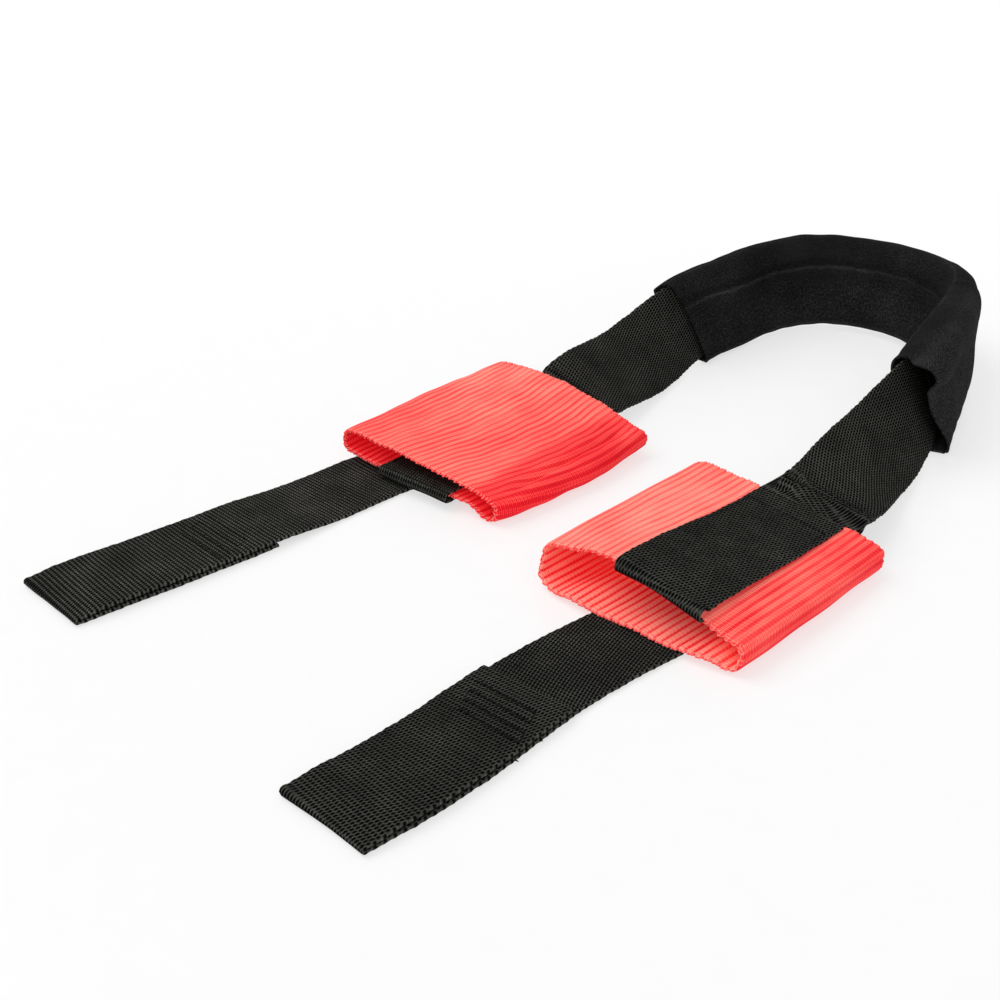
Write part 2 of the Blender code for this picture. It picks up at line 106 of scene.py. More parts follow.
# Bridge strap from the left cuff's back edge round the bend: x, y, z and tilt
STRAP_STOPS = (
    (-86.5, 21.0, 20.5, 25.0),
    (-91.0, 47.0, 20.5, 31.0),
    (-97.5, 78.0, 18.0, 36.0),
    (-103.5, 104.0, 19.5, 46.0),
    (-107.0, 128.0, 24.0, 59.0),
    (-107.0, 150.0, 28.6, 69.0),
    (-106.0, 180.0, 30.0, 74.0),
    (-105.5, 211.0, 31.0, 75.0),
    (-100.0, 237.0, 31.0, 75.0),
    (-86.0, 257.0, 31.0, 74.0),
    (-65.0, 269.0, 31.0, 72.0),
    (-38.0, 273.0, 31.0, 72.0),
    (-11.0, 268.0, 30.0, 76.0),
    (12.0, 251.0, 29.5, 88.0),
    (28.5, 224.0, 29.5, 99.0),
    (42.0, 194.0, 29.5, 107.0),
    (54.0, 163.0, 29.5, 111.0),
    (62.5, 137.0, 27.4, 116.0),
    (67.5, 115.0, 23.5, 126.0),
    (73.0, 91.0, 20.0, 138.0),
    (80.0, 62.0, 20.0, 147.0),
    (88.0, 33.0, 20.5, 160.0),
    (92.0, 10.8, 20.5, 170.0),
)

# Where the arms swing, where the sleeve's mouths are and how far an arm runs on inside a mouth
LEFT_SWING_Y = 116.0
RIGHT_SWING_Y = 98.0
SWING_REACH = 20.0
SLEEVE_LEFT_Y = 138.0
SLEEVE_RIGHT_Y = 128.0
SLEEVE_OVERLAP = 30.0

# Cuffs: their walls, their lengthwise ribs and the slit under the binding. The power squares the folds.
CUFF_LENGTH = 118.0
CUFF_WALL = 3.0
CUFF_INNER_WALL = 0.9
CUFF_FOLD_POWER = 0.42
CUFF_RIB_PITCH = 4.1
CUFF_RIB_HEIGHT = 0.21
CUFF_INNER_RIB = 0.8
CUFF_SLIT = 1.2
CUFF_STATIONS = 36
POINTS_PER_RIB = 8

# A cuff's cut edges: the first rows of points in from them, and over what length and how far they round in
RIM_ROWS = (0.0, 0.3, 0.9, 1.8, 3.0)
RIM_LENGTH = 1.8
RIM_TUCK = 0.45

# Colour of the cuffs: the painted shade that marks their inside, and a painted red glow for the light that
# comes through the weave
CUFF_INSIDE = -0.12
CUFF_GLOW = 0.18

# Bindings: the strip that joins a cuff's ends
BINDING_WIDTH = 50.0
BINDING_THICK = 1.7
BINDING_GAP = 0.5
BINDING_SHIFT = {"left": -2.0, "right": -3.0}
BINDING_NOSE = {"left": 3.5, "right": 1.2}
BINDING_TURNS = 9

# Where its outer and its inner layer end in front of the cuff's back edge, and how it laps over the arm's
# seam, as lengths along the arm from where that rises
BINDING_OUTER_END = {"left": 16.0, "right": 3.0}
BINDING_INNER_END = 14.0
SEAM_LAP = {"left": (5.0, 3.5, 2.0, 0.0, -2.0, -5.0, -9.0), "right": (8.0, 6.0, 4.0, 2.5, 1.0)}

# The arm's rise behind its cuff: steps back from the seam, each with its share of the height and of the
# turn. Each side's style is its share of the full height, how far its foot is tucked under the cuff, how
# much nearer the cuff it stands, its share of the lean and how much it yaws on the way.
ARM_RISE = ((-3.5, 0.0, 0.0), (-1.6, 0.035, 0.0), (-0.6, 0.14, 0.04), (-0.4, 0.35, 0.25),
            (-0.4, 0.6, 0.55), (-0.2, 0.8, 0.8), (0.8, 0.93, 0.92), (2.6, 0.99, 1.0))
ARM_STYLE = {"left": (0.95, 1.0, 0.0, 0.8, 0.0), "right": (1.0, 5.0, 1.0, 1.0, 0.16)}
ARM_ROUTE_FROM = {"left": 12.0, "right": 5.0}
ARM_EASING = {"left": 1.4, "right": 1.2}

# Tails: the loop and the ramp down from it, how far in front of the cuff the tail folds, and how high the
# loop's upper layer puffs, up to how far from its cut end
LOOP_LENGTH = {"left": 110.0, "right": 115.0}
LOOP_GAP = 0.35
LOOP_ROWS = (12.0, 18.5, 25.0, 31.5)
RAMP_LENGTH = {"left": 46.0, "right": 12.0}
FOLD_CLEARANCE = 8.0
LAYER_STEPS = 34
LOOP_PUFF = 0.4
PUFF_END = 34.0

# The loop's nose: how much thinner the webbing is there, and over what length
NOSE_LAYER = 0.72
NOSE_REACH = 15.0

# Rows across the loop: where the first starts, each one's shift and width, its zigzag, steps and dent, and
# three loose ends: distance from the tip, how far out and how high
ROW_START = -19.0
ROW_SHIFT = 2.5
ROW_WIDTH = 34.0
ROW_SWING = 0.8
ROW_STEPS = 24
ROW_DENT = {"left": 0.1, "right": 0.35}
LOOSE_ENDS = ((78.0, 2.6, 1.0), (80.0, 1.8, 2.6), (95.0, 1.6, 0.6))

# Sleeve cloth: its crease, the start of its outer wall, and folds as share of length, depth and width
CANVAS_THICK = 1.1
CANVAS_ROUND = 118.0
CREASE_AROUND = 22.1
CREASE_PLACE = 8.0
OUTER_WALL_FROM = 54.0
OUTER_WALL_LIGHTER = 0.15
SLEEVE_FOLDS = ((0.16, 0.30, 6.0), (0.30, 0.40, 7.0), (0.43, 0.25, 6.0), (0.56, 0.45, 4.0), (0.66, 0.5, 3.5),
                (0.86, 0.5, 5.0))
SLEEVE_RING = 120
SLEEVE_STEP = 1.9
SLEEVE_FLOOR = 0.3

UP = np.array((0.0, 0.0, 1.0))


class Side:
    """One end of the harness, with the same sizes as its CAD pieces.

    heights are the top wall's at the cuff's left and right edge, in front and at the back; drops are where
    the bottom wall comes down to the floor beside the strap; bows are how the tail curves sideways.
    """

    def __init__(self, name, cuff_centre, cuff_turn, half_width, heights, binding_u, binding_on_top,
                 lean, drops, tail_tip, tail_mouth, bows, fold_back_on_top):
        self.name = name
        self.cuff_centre = np.array(cuff_centre)
        self.turn = math.radians(cuff_turn)
        self.half_width = half_width
        self.heights = heights
        self.binding_u = binding_u
        self.binding_on_top = binding_on_top
        self.lean = lean
        self.drops = drops
        self.tail_tip = np.array((*tail_tip, 0.0))
        self.tail_mouth = np.array((*tail_mouth, 0.0))
        self.bows = bows
        self.fold_back_on_top = fold_back_on_top

    def place(self, u, v, z):
        """Points of the cuff's own frame (u across, v towards the arm) in the drawing."""
        u, v, z = np.broadcast_arrays(np.asarray(u, float), np.asarray(v, float), np.asarray(z, float))
        v = v + self.lean * z / max(self.heights[0])
        x = self.cuff_centre[0] + u * math.cos(self.turn) - v * math.sin(self.turn)
        y = self.cuff_centre[1] + u * math.sin(self.turn) + v * math.cos(self.turn)
        return np.stack((x, y, z), axis=-1)

    def bottom(self):
        """Height of the bottom wall's middle where it lies on the strap."""
        stack = WEB_THICK + GAP + CUFF_WALL / 2
        if not self.binding_on_top:
            stack += WEB_THICK + BINDING_GAP
        return stack

    def wall(self, u, v, top):
        """Height of the top or bottom wall's middle at places on the cuff."""
        u = np.asarray(u, float)
        v = np.asarray(v, float)
        if not top:
            reach = np.full(np.broadcast(u, v).shape, -np.inf)
            for start, end in self.drops:
                reach = np.maximum(reach, (u - start) / (end - start))
            return self.bottom() + (GAP + CUFF_WALL / 2 - self.bottom()) * ease(reach)
        along = (v + CUFF_LENGTH / 2) / CUFF_LENGTH
        front, back = self.heights
        left = front[0] + (back[0] - front[0]) * along
        right = front[1] + (back[1] - front[1]) * along
        across = (u + self.half_width) / (2 * self.half_width)
        return left + (right - left) * across - CUFF_WALL / 2


LEFT = Side("left", cuff_centre=(-81.5, -43.0), cuff_turn=5.5, half_width=53.0,
            heights=((23.0, 14.0), (28.0, 17.0)), binding_u=-4.0, binding_on_top=False, lean=2.0,
            drops=((28.0, 46.0),), tail_tip=(-112.0, -300.0), tail_mouth=(-111.5, -106.0), bows=(3.0, 0.0),
            fold_back_on_top=False)
RIGHT = Side("right", cuff_centre=(82.0, -60.0), cuff_turn=4.5, half_width=56.0,
             heights=((25.0, 15.0), (25.0, 15.0)), binding_u=13.0, binding_on_top=True, lean=8.0,
             drops=((-27.0, -47.0), (42.0, 54.0)), tail_tip=(98.5, -303.0), tail_mouth=(89.5, -120.0),
             bows=(0.0, 2.5), fold_back_on_top=True)


# ---------------------------------------------------------------- small tools

def unit(vectors):
    """Vectors scaled to length one."""
    vectors = np.asarray(vectors, float)
    return vectors / np.linalg.norm(vectors, axis=-1, keepdims=True)


def ease(share):
    """A smooth step from 0 to 1."""
    share = np.clip(share, 0.0, 1.0)
    return share * share * (3.0 - 2.0 * share)


def wander(values, scale, seed):
    """Smooth repeatable noise of one or two coordinates, about -1 to 1."""
    rng = np.random.default_rng(seed)
    total = 0.0
    for _ in range(WANDER_WAVES):
        turns = rng.normal(size=len(values)) / scale
        total = total + np.sin(sum(t * v for t, v in zip(turns, values)) * 2 * math.pi + rng.uniform(0, 6.3))
    return total / math.sqrt(WANDER_WAVES)


def through(before, start, end, after, t):
    """A smooth curve from start to end, t from 0 to 1, that allows for its neighbours."""
    bend = (2 * before - 5 * start + 4 * end - after) * t ** 2
    bend += (3 * start - before - 3 * end + after) * t ** 3
    return start + 0.5 * ((end - before) * t + bend)


class Curve:
    """A smooth curve through stops, read by the length along it."""

    def __init__(self, stops):
        stops = np.array(stops, float)
        self.count = len(stops)
        self.padded = np.vstack((2 * stops[0] - stops[1], stops, 2 * stops[-1] - stops[-2]))
        self.turns = np.linspace(0.0, self.count - 1, 24 * self.count)
        steps = np.linalg.norm(np.diff(self.value(self.turns)[:, :3], axis=0), axis=1)
        self.reach = np.concatenate(((0.0,), np.cumsum(steps)))
        self.length = self.reach[-1]

    def value(self, turn):
        """Values at places counted in stops."""
        index = np.clip(turn.astype(int), 0, self.count - 2)
        t = (turn - index)[:, None]
        before, start, end, after = (self.padded[index + k] for k in range(4))
        return through(before, start, end, after, t)

    def at(self, lengths):
        """Values at lengths along the curve."""
        return self.value(np.interp(lengths, self.reach, self.turns))


class Route(Curve):
    """The bridge strap's middle line with its tilt."""

    def frames(self, lengths):
        """Middle, direction across (towards the upper edge) and outer face direction at lengths."""
        lengths = np.asarray(lengths, float)
        here = self.at(lengths)
        low = self.at(np.clip(lengths - 2.0, 0.0, self.length))[:, :3]
        high = self.at(np.clip(lengths + 2.0, 0.0, self.length))[:, :3]
        ahead = unit(high - low)
        outward = unit(np.stack((-ahead[:, 1], ahead[:, 0], np.zeros(len(ahead))), axis=1))
        tilt = np.radians(here[:, 3:4])
        across = outward * np.cos(tilt) + UP * np.sin(tilt)
        across = unit(across - ahead * np.sum(across * ahead, axis=1, keepdims=True))
        return here[:, :3], across, unit(np.cross(across, ahead))

    def where_y(self, y, right):
        """Length at which one of the two arms passes a given y."""
        lengths = np.linspace(0.0, self.length, 3000)
        half = lengths > self.length / 2
        gap = np.abs(self.at(lengths)[:, 1] - y)
        gap[half != right] = np.inf
        return lengths[int(np.argmin(gap))]


ROUTE = Route(STRAP_STOPS)


# ---------------------------------------------------------------- meshes

def grid_faces(rows, cols):
    """Rows and columns of a closed grid's quads, and the quads themselves."""
    row, col = np.meshgrid(np.arange(rows - 1), np.arange(cols), indexing="ij")
    near = row * cols + col
    beside = row * cols + (col + 1) % cols
    return row, col, np.stack((near, beside, beside + cols, near + cols), axis=-1).reshape(-1, 4)


def make_piece(name, points, uv, look, smooth_angle=70.0):
    """A solid strip from a grid of points (rows, ring) in drawing millimetres, its two ends closed."""
    rows, cols = points.shape[:2]
    row, col, faces = grid_faces(rows, cols)
    corner = np.stack((uv[row, col], uv[row, col + 1], uv[row + 1, col + 1], uv[row + 1, col]), axis=-2)
    corner = corner.reshape(-1, 2)
    left = np.arange(cols // 2 - 1)
    mirror = cols - 1 - left
    quads = np.stack((left, left + 1, mirror - 1, mirror), axis=-1)
    for end in (0, rows - 1):
        faces = np.vstack((faces, quads + end * cols))
        corner = np.vstack((corner, uv[end, quads].reshape(-1, 2)))
    return mesh_piece(name, points.reshape(-1, 3), faces, corner, look, smooth_angle)


def mesh_piece(name, points, faces, corner_uv, look, smooth_angle=70.0):
    """A mesh object from points in drawing millimetres, quads and cloth coordinates, if it has them."""
    mesh = bpy.data.meshes.new(name)
    mesh.from_pydata(((points + FRAME_SHIFT) * MM).tolist(), [], faces.tolist())
    if corner_uv is not None:
        layer = mesh.uv_layers.new(name="cloth")
        layer.data.foreach_set("uv", np.ascontiguousarray(corner_uv, np.float32).ravel())
    bm = bmesh.new()
    bm.from_mesh(mesh)
    bmesh.ops.recalc_face_normals(bm, faces=bm.faces[:])
    bm.to_mesh(mesh)
    bm.free()
    mesh.shade_smooth()
    mesh.set_sharp_from_angle(angle=math.radians(smooth_angle))
    mesh.materials.append(look)
    piece = bpy.data.objects.new(name, mesh)
    bpy.context.scene.collection.objects.link(piece)
    return piece


# ---------------------------------------------------------------- materials

class Nodes:
    """A short way to write a material's node tree."""

    def __init__(self, name):
        self.material = bpy.data.materials.new(name)
        self.material.use_nodes = True
        self.tree = self.material.node_tree
        self.shader = self.tree.nodes["Principled BSDF"]

    def put(self, socket, value):
        """Link or set one input socket."""
        if isinstance(value, bpy.types.NodeSocket):
            self.tree.links.new(value, socket)
        else:
            socket.default_value = value

    def node(self, kind, inputs=None, output=0, **settings):
        """A node with its settings and inputs; returns one output."""
        made = self.tree.nodes.new(kind)
        for key, value in settings.items():
            setattr(made, key, value)
        for key, value in (inputs or {}).items():
            self.put(made.inputs[key], value)
        return made.outputs[output]

    def math(self, operation, a, b=0.0, c=0.0):
        """A Math node."""
        return self.node("ShaderNodeMath", {0: a, 1: b, 2: c}, operation=operation)

    def plus(self, a, b):
        """Their sum."""
        return self.math("ADD", a, b)

    def times(self, a, b):
        """Their product."""
        return self.math("MULTIPLY", a, b)

    def scaled(self, a, b, c):
        """The first times the second, plus the third."""
        return self.math("MULTIPLY_ADD", a, b, c)

    def surface(self, name, value):
        """Link or set one input of the shader."""
        self.put(self.shader.inputs[name], value)

    def wave(self, u, s, across, along, turn=0.0):
        """A cosine wave, 0 to 1, of so many cycles per millimetre across and along."""
        phase = self.plus(self.times(u, across * 2 * math.pi), self.scaled(s, along * 2 * math.pi, turn))
        return self.scaled(self.math("COSINE", phase), 0.5, 0.5)

    def noise(self, vector, scale, detail, roughness=0.5):
        """A Noise texture's value."""
        return self.node("ShaderNodeTexNoise", {"Vector": vector, "Scale": scale, "Detail": detail,
                                                "Roughness": roughness})

    def stretched(self, cloth, across, along, detail, roughness=0.5):
        """A Noise texture scaled differently across and along the cloth."""
        vector = self.node("ShaderNodeMapping", {"Vector": cloth, "Scale": (across, along, 1.0)})
        return self.noise(vector, 1.0, detail, roughness)

    def ramp(self, value, stops):
        """A colour ramp of (position, colour) stops."""
        made = self.tree.nodes.new("ShaderNodeValToRGB")
        elements = made.color_ramp.elements
        elements[0].position = stops[0][0]
        elements[1].position = stops[-1][0]
        for position, _ in stops[1:-1]:
            elements.new(position)
        for element, (_, colour) in zip(elements, stops):
            element.color = (*colour, 1.0)
        self.put(made.inputs[0], value)
        return made.outputs[0]

    def cloth(self):
        """The piece's cloth coordinates: across, along and both, in millimetres."""
        vector = self.node("ShaderNodeUVMap", uv_map="cloth")
        split = self.tree.nodes.new("ShaderNodeSeparateXYZ")
        self.put(split.inputs[0], vector)
        return split.outputs[0], split.outputs[1], vector

    def place(self):
        """The piece's own coordinates in metres, for patterns that don't follow the cloth."""
        return self.node("ShaderNodeTexCoord", output=3)

    def bump(self, height, distance, strength, normal=None):
        """A Bump node's normal."""
        inputs = {"Height": height, "Distance": distance, "Strength": strength}
        if normal:
            inputs["Normal"] = normal
        return self.node("ShaderNodeBump", inputs)


def black_webbing_look(name="black_webbing", fuzz=0.0, ribbed=0.4):
    """Black polyester webbing: rows of slanted grains on crosswise ribs, dark between them with painted
    shade, painted highlights on the grains.
    """
    n = Nodes(name)
    u, s, cloth = n.cloth()
    place = n.place()
    middle = n.math("LESS_THAN", n.math("ABSOLUTE", u), WEB_WIDTH / 2 - 0.9)
    stray = n.noise(cloth, 0.9, 2.0)
    s = n.scaled(n.math("SUBTRACT", stray, 0.5), 0.6 + 1.6 * fuzz, s)
    u = n.scaled(n.math("SUBTRACT", n.noise(cloth, 1.3, 1.0), 0.5), 0.4 + fuzz, u)
    ribs = n.wave(u, s, 0.0, 1.0 / RIB_PITCH, math.pi)
    grain = n.wave(u, s, 1.0 / GRAIN_PITCH, 0.5 / RIB_PITCH)
    other = n.wave(u, s, -1.0 / GRAIN_PITCH, 0.5 / RIB_PITCH)
    checker = n.times(grain, n.scaled(other, 0.75, 0.25))
    checker = n.math("MAXIMUM", checker, n.scaled(middle, -0.34, 0.34))
    height = n.scaled(checker, 1.0 - ribbed, n.times(ribs, ribbed))
    fibres = n.stretched(cloth, 6.0, 1.5, 3.0)
    # Painted glints on the fibres.
    glints = n.stretched(cloth, 0.9, 0.7, 2.0, 0.7)
    patches = n.noise(place, 45.0, 4.0, 0.6)
    dust = n.noise(place, 1100.0, 2.0)
    lit = n.scaled(fibres, 1.0, n.scaled(patches, 0.9, -0.55))
    lit = n.scaled(glints, 1.0, lit)
    # Colour follows the weave's height: painted shade in its valleys, painted highlights on its grain tops.
    tone = n.times(n.math("POWER", height, 2.2), lit)
    tone = n.plus(tone, n.times(n.math("GREATER_THAN", dust, 0.68), 0.06 + 0.1 * fuzz))
    colour = n.ramp(tone, ((0.0, (0.0016, 0.0016, 0.0017)), (0.10, (0.0050, 0.0050, 0.0048)),
                           (0.36, (0.064, 0.064, 0.056)), (1.0, (0.36, 0.36, 0.33))))
    n.surface("Base Color", colour)
    n.surface("Roughness", n.scaled(height, -0.2, 0.85))
    n.surface("Specular IOR Level", 0.01)
    rough = n.scaled(fibres, 0.3 + fuzz, height)
    n.surface("Normal", n.bump(rough, 0.00045, 1.0))
    return n.material


def red_webbing_look(name, painted_light, lit_inside):
    """Coral red sling webbing, deep red in valleys; painted light on top, painted shade on flanks and inside,
    a painted glow.
    """
    n = Nodes(name)
    u, s, cloth = n.cloth()
    place = n.place()
    painted_shading = n.node("ShaderNodeAttribute", output=2, attribute_name="painted_shading")
    ribs = n.wave(u, s, 1.0 / CUFF_RIB_PITCH, 0.0, math.pi)
    valley = n.math("POWER", n.math("SUBTRACT", 1.0, ribs), 2.5)
    threads = n.wave(u, s, 0.0, 1.0 / 1.15)
    half = n.wave(u, s, 0.5 / CUFF_RIB_PITCH, 0.5 / 1.15)
    columns = n.wave(u, s, 3.0 / CUFF_RIB_PITCH, 0.0)
    fine = n.plus(n.times(threads, 0.6), n.times(n.plus(half, columns), 0.2))
    streak = n.stretched(cloth, 0.42, 0.03, 4.0, 0.6)
    fibres = n.stretched(cloth, 0.8, 4.0, 3.0)
    patches = n.noise(place, 20.0, 3.0)
    soft = n.stretched(cloth, 0.05, 0.02, 2.0)
    inside = n.math("GREATER_THAN", n.times(painted_shading, -1.0), 0.05)
    tone = n.scaled(soft, -0.50, -0.07)
    # Darker valleys between the ribs; inside the tube they get painted shade on top of that.
    tone = n.times(valley, n.scaled(inside, -0.36, tone))
    # Painted light lifts the inside, by lit_inside.
    tone = n.scaled(inside, lit_inside, tone)
    tone = n.plus(tone, n.scaled(streak, 0.5, -0.15))
    tone = n.plus(tone, n.scaled(fine, 0.62, -0.27))
    tone = n.plus(tone, n.scaled(fibres, 0.40, -0.20))
    # Patchy tone, with a painted lift over the whole cuff, larger on the right cuff.
    tone = n.plus(tone, n.scaled(patches, 0.6, -0.2 + painted_light))
    # Painted light and shade from the cuff's shading attribute: lighter on top, darker on the flanks and
    # inside.
    tone = n.scaled(painted_shading, 0.44, tone)
    colour = n.ramp(tone, ((0.0, (0.55, 0.003, 0.012)), (0.28, (0.80, 0.022, 0.032)),
                           (0.62, (0.84, 0.125, 0.100)), (1.0, (0.90, 0.35, 0.27))))
    n.surface("Base Color", colour)
    n.surface("Roughness", n.scaled(fibres, 0.2, 0.5))
    n.surface("Specular IOR Level", 0.10)
    # A painted glow: the cuff gives off a little red light of its own.
    n.surface("Emission Color", (1.0, 0.012, 0.02, 1.0))
    n.surface("Emission Strength", CUFF_GLOW)
    height = n.plus(n.times(fine, 0.55), n.times(fibres, 0.45))
    n.surface("Normal", n.bump(height, 0.0003, 1.0))
    return n.material


def canvas_look():
    """Matt black canvas: speckled slubby weave, grey with rubbing outside and on its folds, painted light and
    shade at its crease.
    """
    n = Nodes("black_canvas")
    u, s, cloth = n.cloth()
    place = n.place()
    weave = n.times(n.wave(u, s, -0.80, 0.62), 0.5)
    weave = n.scaled(n.wave(u, s, 0.80, 0.62), 0.5, weave)
    speckle = n.noise(cloth, 1.2, 3.0, 0.8)
    slubs = n.stretched(cloth, 1.0, 0.25, 4.0, 0.65)
    worn = n.noise(place, 26.0, 5.0, 0.6)
    sway = n.scaled(n.noise(cloth, 0.06, 2.0), 3.0, -1.5)
    crease_shading_and_rubbing = 0.0
    # Lighter lines: a painted highlight on the crease with a painted shadow beside it, and rubbing along the
    # two folds.
    for line, width, strength in ((CREASE_AROUND, 0.9, 0.9), (CREASE_AROUND + 3.2, 2.2, -0.35),
                                  (44.0, 1.6, 0.5), (114.0, 1.6, 0.4)):
        gap = n.math("DIVIDE", n.plus(n.math("SUBTRACT", u, line), sway), width)
        bell = n.math("POWER", math.e, n.times(n.times(gap, gap), -1.0))
        crease_shading_and_rubbing = n.scaled(bell, strength, crease_shading_and_rubbing)
    limits = {0: u, 1: OUTER_WALL_FROM, 2: OUTER_WALL_FROM + 8.0, 3: 0.0, 4: OUTER_WALL_LIGHTER}
    outside = n.node("ShaderNodeMapRange", limits, interpolation_type="SMOOTHSTEP")
    tone = n.scaled(speckle, 2.6, n.scaled(worn, 0.6, -1.60))
    tone = n.scaled(slubs, 0.5, n.plus(tone, outside))
    tone = n.scaled(weave, 0.35, tone)
    tone = n.scaled(crease_shading_and_rubbing, n.times(worn, 0.55), tone)
    colour = n.ramp(tone, ((0.0, (0.0022, 0.0022, 0.0026)), (0.45, (0.0085, 0.0085, 0.0090)),
                           (1.0, (0.048, 0.048, 0.047))))
    n.surface("Base Color", colour)
    n.surface("Roughness", n.scaled(worn, 0.12, 0.86))
    n.surface("Specular IOR Level", 0.02)
    height = n.scaled(speckle, 0.8, n.times(slubs, 0.3))
    height = n.scaled(weave, 0.4, height)
    fine = n.bump(height, 0.00036, 1.0)
    n.surface("Normal", n.bump(n.noise(place, 110.0, 3.0), 0.0008, 0.6, fine))
    return n.material


def thread_look(name, dark, light):
    """Bonded sewing thread with a twist."""
    n = Nodes(name)
    place = n.place()
    twist = n.noise(place, 2600.0, 2.0)
    n.surface("Base Color", n.ramp(twist, ((0.3, dark), (0.75, light))))
    n.surface("Roughness", n.scaled(twist, 0.3, 0.55))
    n.surface("Specular IOR Level", 0.08)
    n.surface("Normal", n.bump(twist, 0.0001, 0.8))
    return n.material


# ---------------------------------------------------------------- lines and shapes

class Line:
    """A path of places and directions across, evenly sampled and eased at its corners."""

    def __init__(self, path, across, sigma=0.8):
        values = np.hstack((np.array(path, float), unit(np.array(across, float))))
        reach = self.measure(values)
        places = np.linspace(0.0, reach[-1], int(reach[-1] / LINE_STEP) + 2)
        values = np.stack([np.interp(places, reach, values[:, k]) for k in range(6)], axis=1)
        half = int(3 * sigma / LINE_STEP) + 1
        kernel = np.exp(-0.5 * (np.arange(-half, half + 1) * LINE_STEP / sigma) ** 2)
        kernel /= kernel.sum()
        before = 2 * values[0] - values[half:0:-1]
        after = 2 * values[-1] - values[-2:-half - 2:-1]
        padded = np.vstack((before, values, after))
        self.values = np.stack([np.convolve(padded[:, k], kernel, "valid") for k in range(6)], axis=1)
        self.reach = self.measure(self.values)
        self.length = self.reach[-1]

    def measure(self, values):
        """Length along the path at each of its points."""
        steps = np.linalg.norm(np.diff(values[:, :3], axis=0), axis=1)
        return np.concatenate(((0.0,), np.cumsum(steps)))

    def at(self, lengths):
        """Values at lengths along the line."""
        return np.stack([np.interp(lengths, self.reach, self.values[:, k]) for k in range(6)], axis=1)


def route_path(start, end):
    """Places and directions across of the bridge strap's route between two lengths."""
    middle, across, _ = ROUTE.frames(np.linspace(start, end, max(3, int(abs(end - start) / ROUTE_STEP))))
    return list(middle), list(across)


def tail_frame(side):
    """The tail's direction towards its cuff, the direction across it and how far its fold lies."""
    ahead = unit(side.tail_mouth - side.tail_tip)
    across = np.array((ahead[1], -ahead[0], 0.0))
    return ahead, across, float(np.dot(side.tail_mouth - side.tail_tip, ahead)) - FOLD_CLEARANCE


def tail_at(side, distance, z):
    """A place on the tail's middle at a distance from its tip."""
    ahead, across, fold = tail_frame(side)
    share = min(max(distance / fold, 0.0), 1.0)
    bow = side.bows[0] * math.sin(math.pi * share) + side.bows[1] * math.sin(2 * math.pi * share)
    return side.tail_tip + ahead * distance + across * bow + np.array((0.0, 0.0, z))


def behind_cuff(side):
    """Where the strap leaves the cuff's underside at its back edge, and the directions there."""
    seam, seam_across, _ = (x[0] for x in ROUTE.frames((0.0 if side is LEFT else ROUTE.length,)))
    seam_across = seam_across * math.copysign(1.0, seam_across[0])
    flat_across = unit(np.array((seam_across[0], seam_across[1], 0.0)))
    back = np.array((-flat_across[1], flat_across[0], 0.0))
    return seam, seam_across, flat_across, back


def tail_line(side):
    """Loop's cut end, round the nose, back along the floor and halfway under the cuff."""
    _, across, fold = tail_frame(side)
    low = WEB_THICK / 2 + TOUCH
    high = low + WEB_THICK + LOOP_GAP
    nose_low = WEB_THICK * NOSE_LAYER / 2 + TOUCH
    nose = WEB_THICK * NOSE_LAYER / 2 + 0.06
    main, back = (low, high) if side.fold_back_on_top else (high, low)
    length = LOOP_LENGTH[side.name]

    def layer(distance, z):
        share = ease((distance - nose) / NOSE_REACH)
        start = nose_low if z == low else nose_low + 2 * nose
        puff = LOOP_PUFF * math.sin(math.pi * min(distance / (length - PUFF_END), 1.0)) if z == high else 0.0
        return tail_at(side, distance, start + (z - start) * share + max(puff, 0.0))

    nose_reach = nose + WEB_THICK * NOSE_LAYER / 2
    path = [layer(d, back) for d in np.linspace(length, nose_reach, LAYER_STEPS)]
    swing = 1.0 if side.fold_back_on_top else -1.0
    for angle in np.linspace(0.0, math.pi, 9)[1:-1]:
        z = nose_low + nose + swing * nose * math.cos(angle)
        path.append(tail_at(side, nose_reach - nose * math.sin(angle), z))
    path += [layer(d, main) for d in np.linspace(nose_reach, length, LAYER_STEPS)]
    for share in np.linspace(0.0, 1.0, 7)[1:]:
        drop = ease(share) if main > low else 1.0
        path.append(tail_at(side, length + RAMP_LENGTH[side.name] * share, main + (low - main) * drop))
    path += [tail_at(side, d, low) for d in np.linspace(length + RAMP_LENGTH[side.name] + 4.0, fold, 12)]
    sides = [across] * len(path)
    for share in np.linspace(0.02, 0.5, 13):
        place, over = under_cuff(side, share)
        path.append(place)
        sides.append(over)
    return Line(path, sides, 0.7)


def arm_line(side, inner):
    """From under the cuff, up behind its back edge and along the arm into the sleeve."""
    seam, seam_across, flat_across, back = behind_cuff(side)
    low = WEB_THICK / 2 + TOUCH
    path = []
    sides = []
    height, tuck, near, leaning, yaw = ARM_STYLE[side.name]
    lift = height * (seam[2] - low)
    for share in np.linspace(0.502, 0.9, 12):
        place, over = under_cuff(side, share)
        path.append(place)
        sides.append(over)
    for step, rise, turn in ARM_RISE:
        place = np.array((seam[0], seam[1], low + lift * rise)) + back * (step - near - tuck * (1.0 - turn))
        path.append(place)
        swing = flat_across + (seam_across - flat_across) * turn * leaning
        sides.append(unit(swing - back * yaw * math.sin(math.pi * min(rise * 1.15, 1.0))))
    start = ARM_ROUTE_FROM[side.name] if side is LEFT else ROUTE.length - ARM_ROUTE_FROM[side.name]
    middle, over = route_path(start, inner)
    path += middle
    sides += [-x for x in over]
    return Line(path, sides, ARM_EASING[side.name])


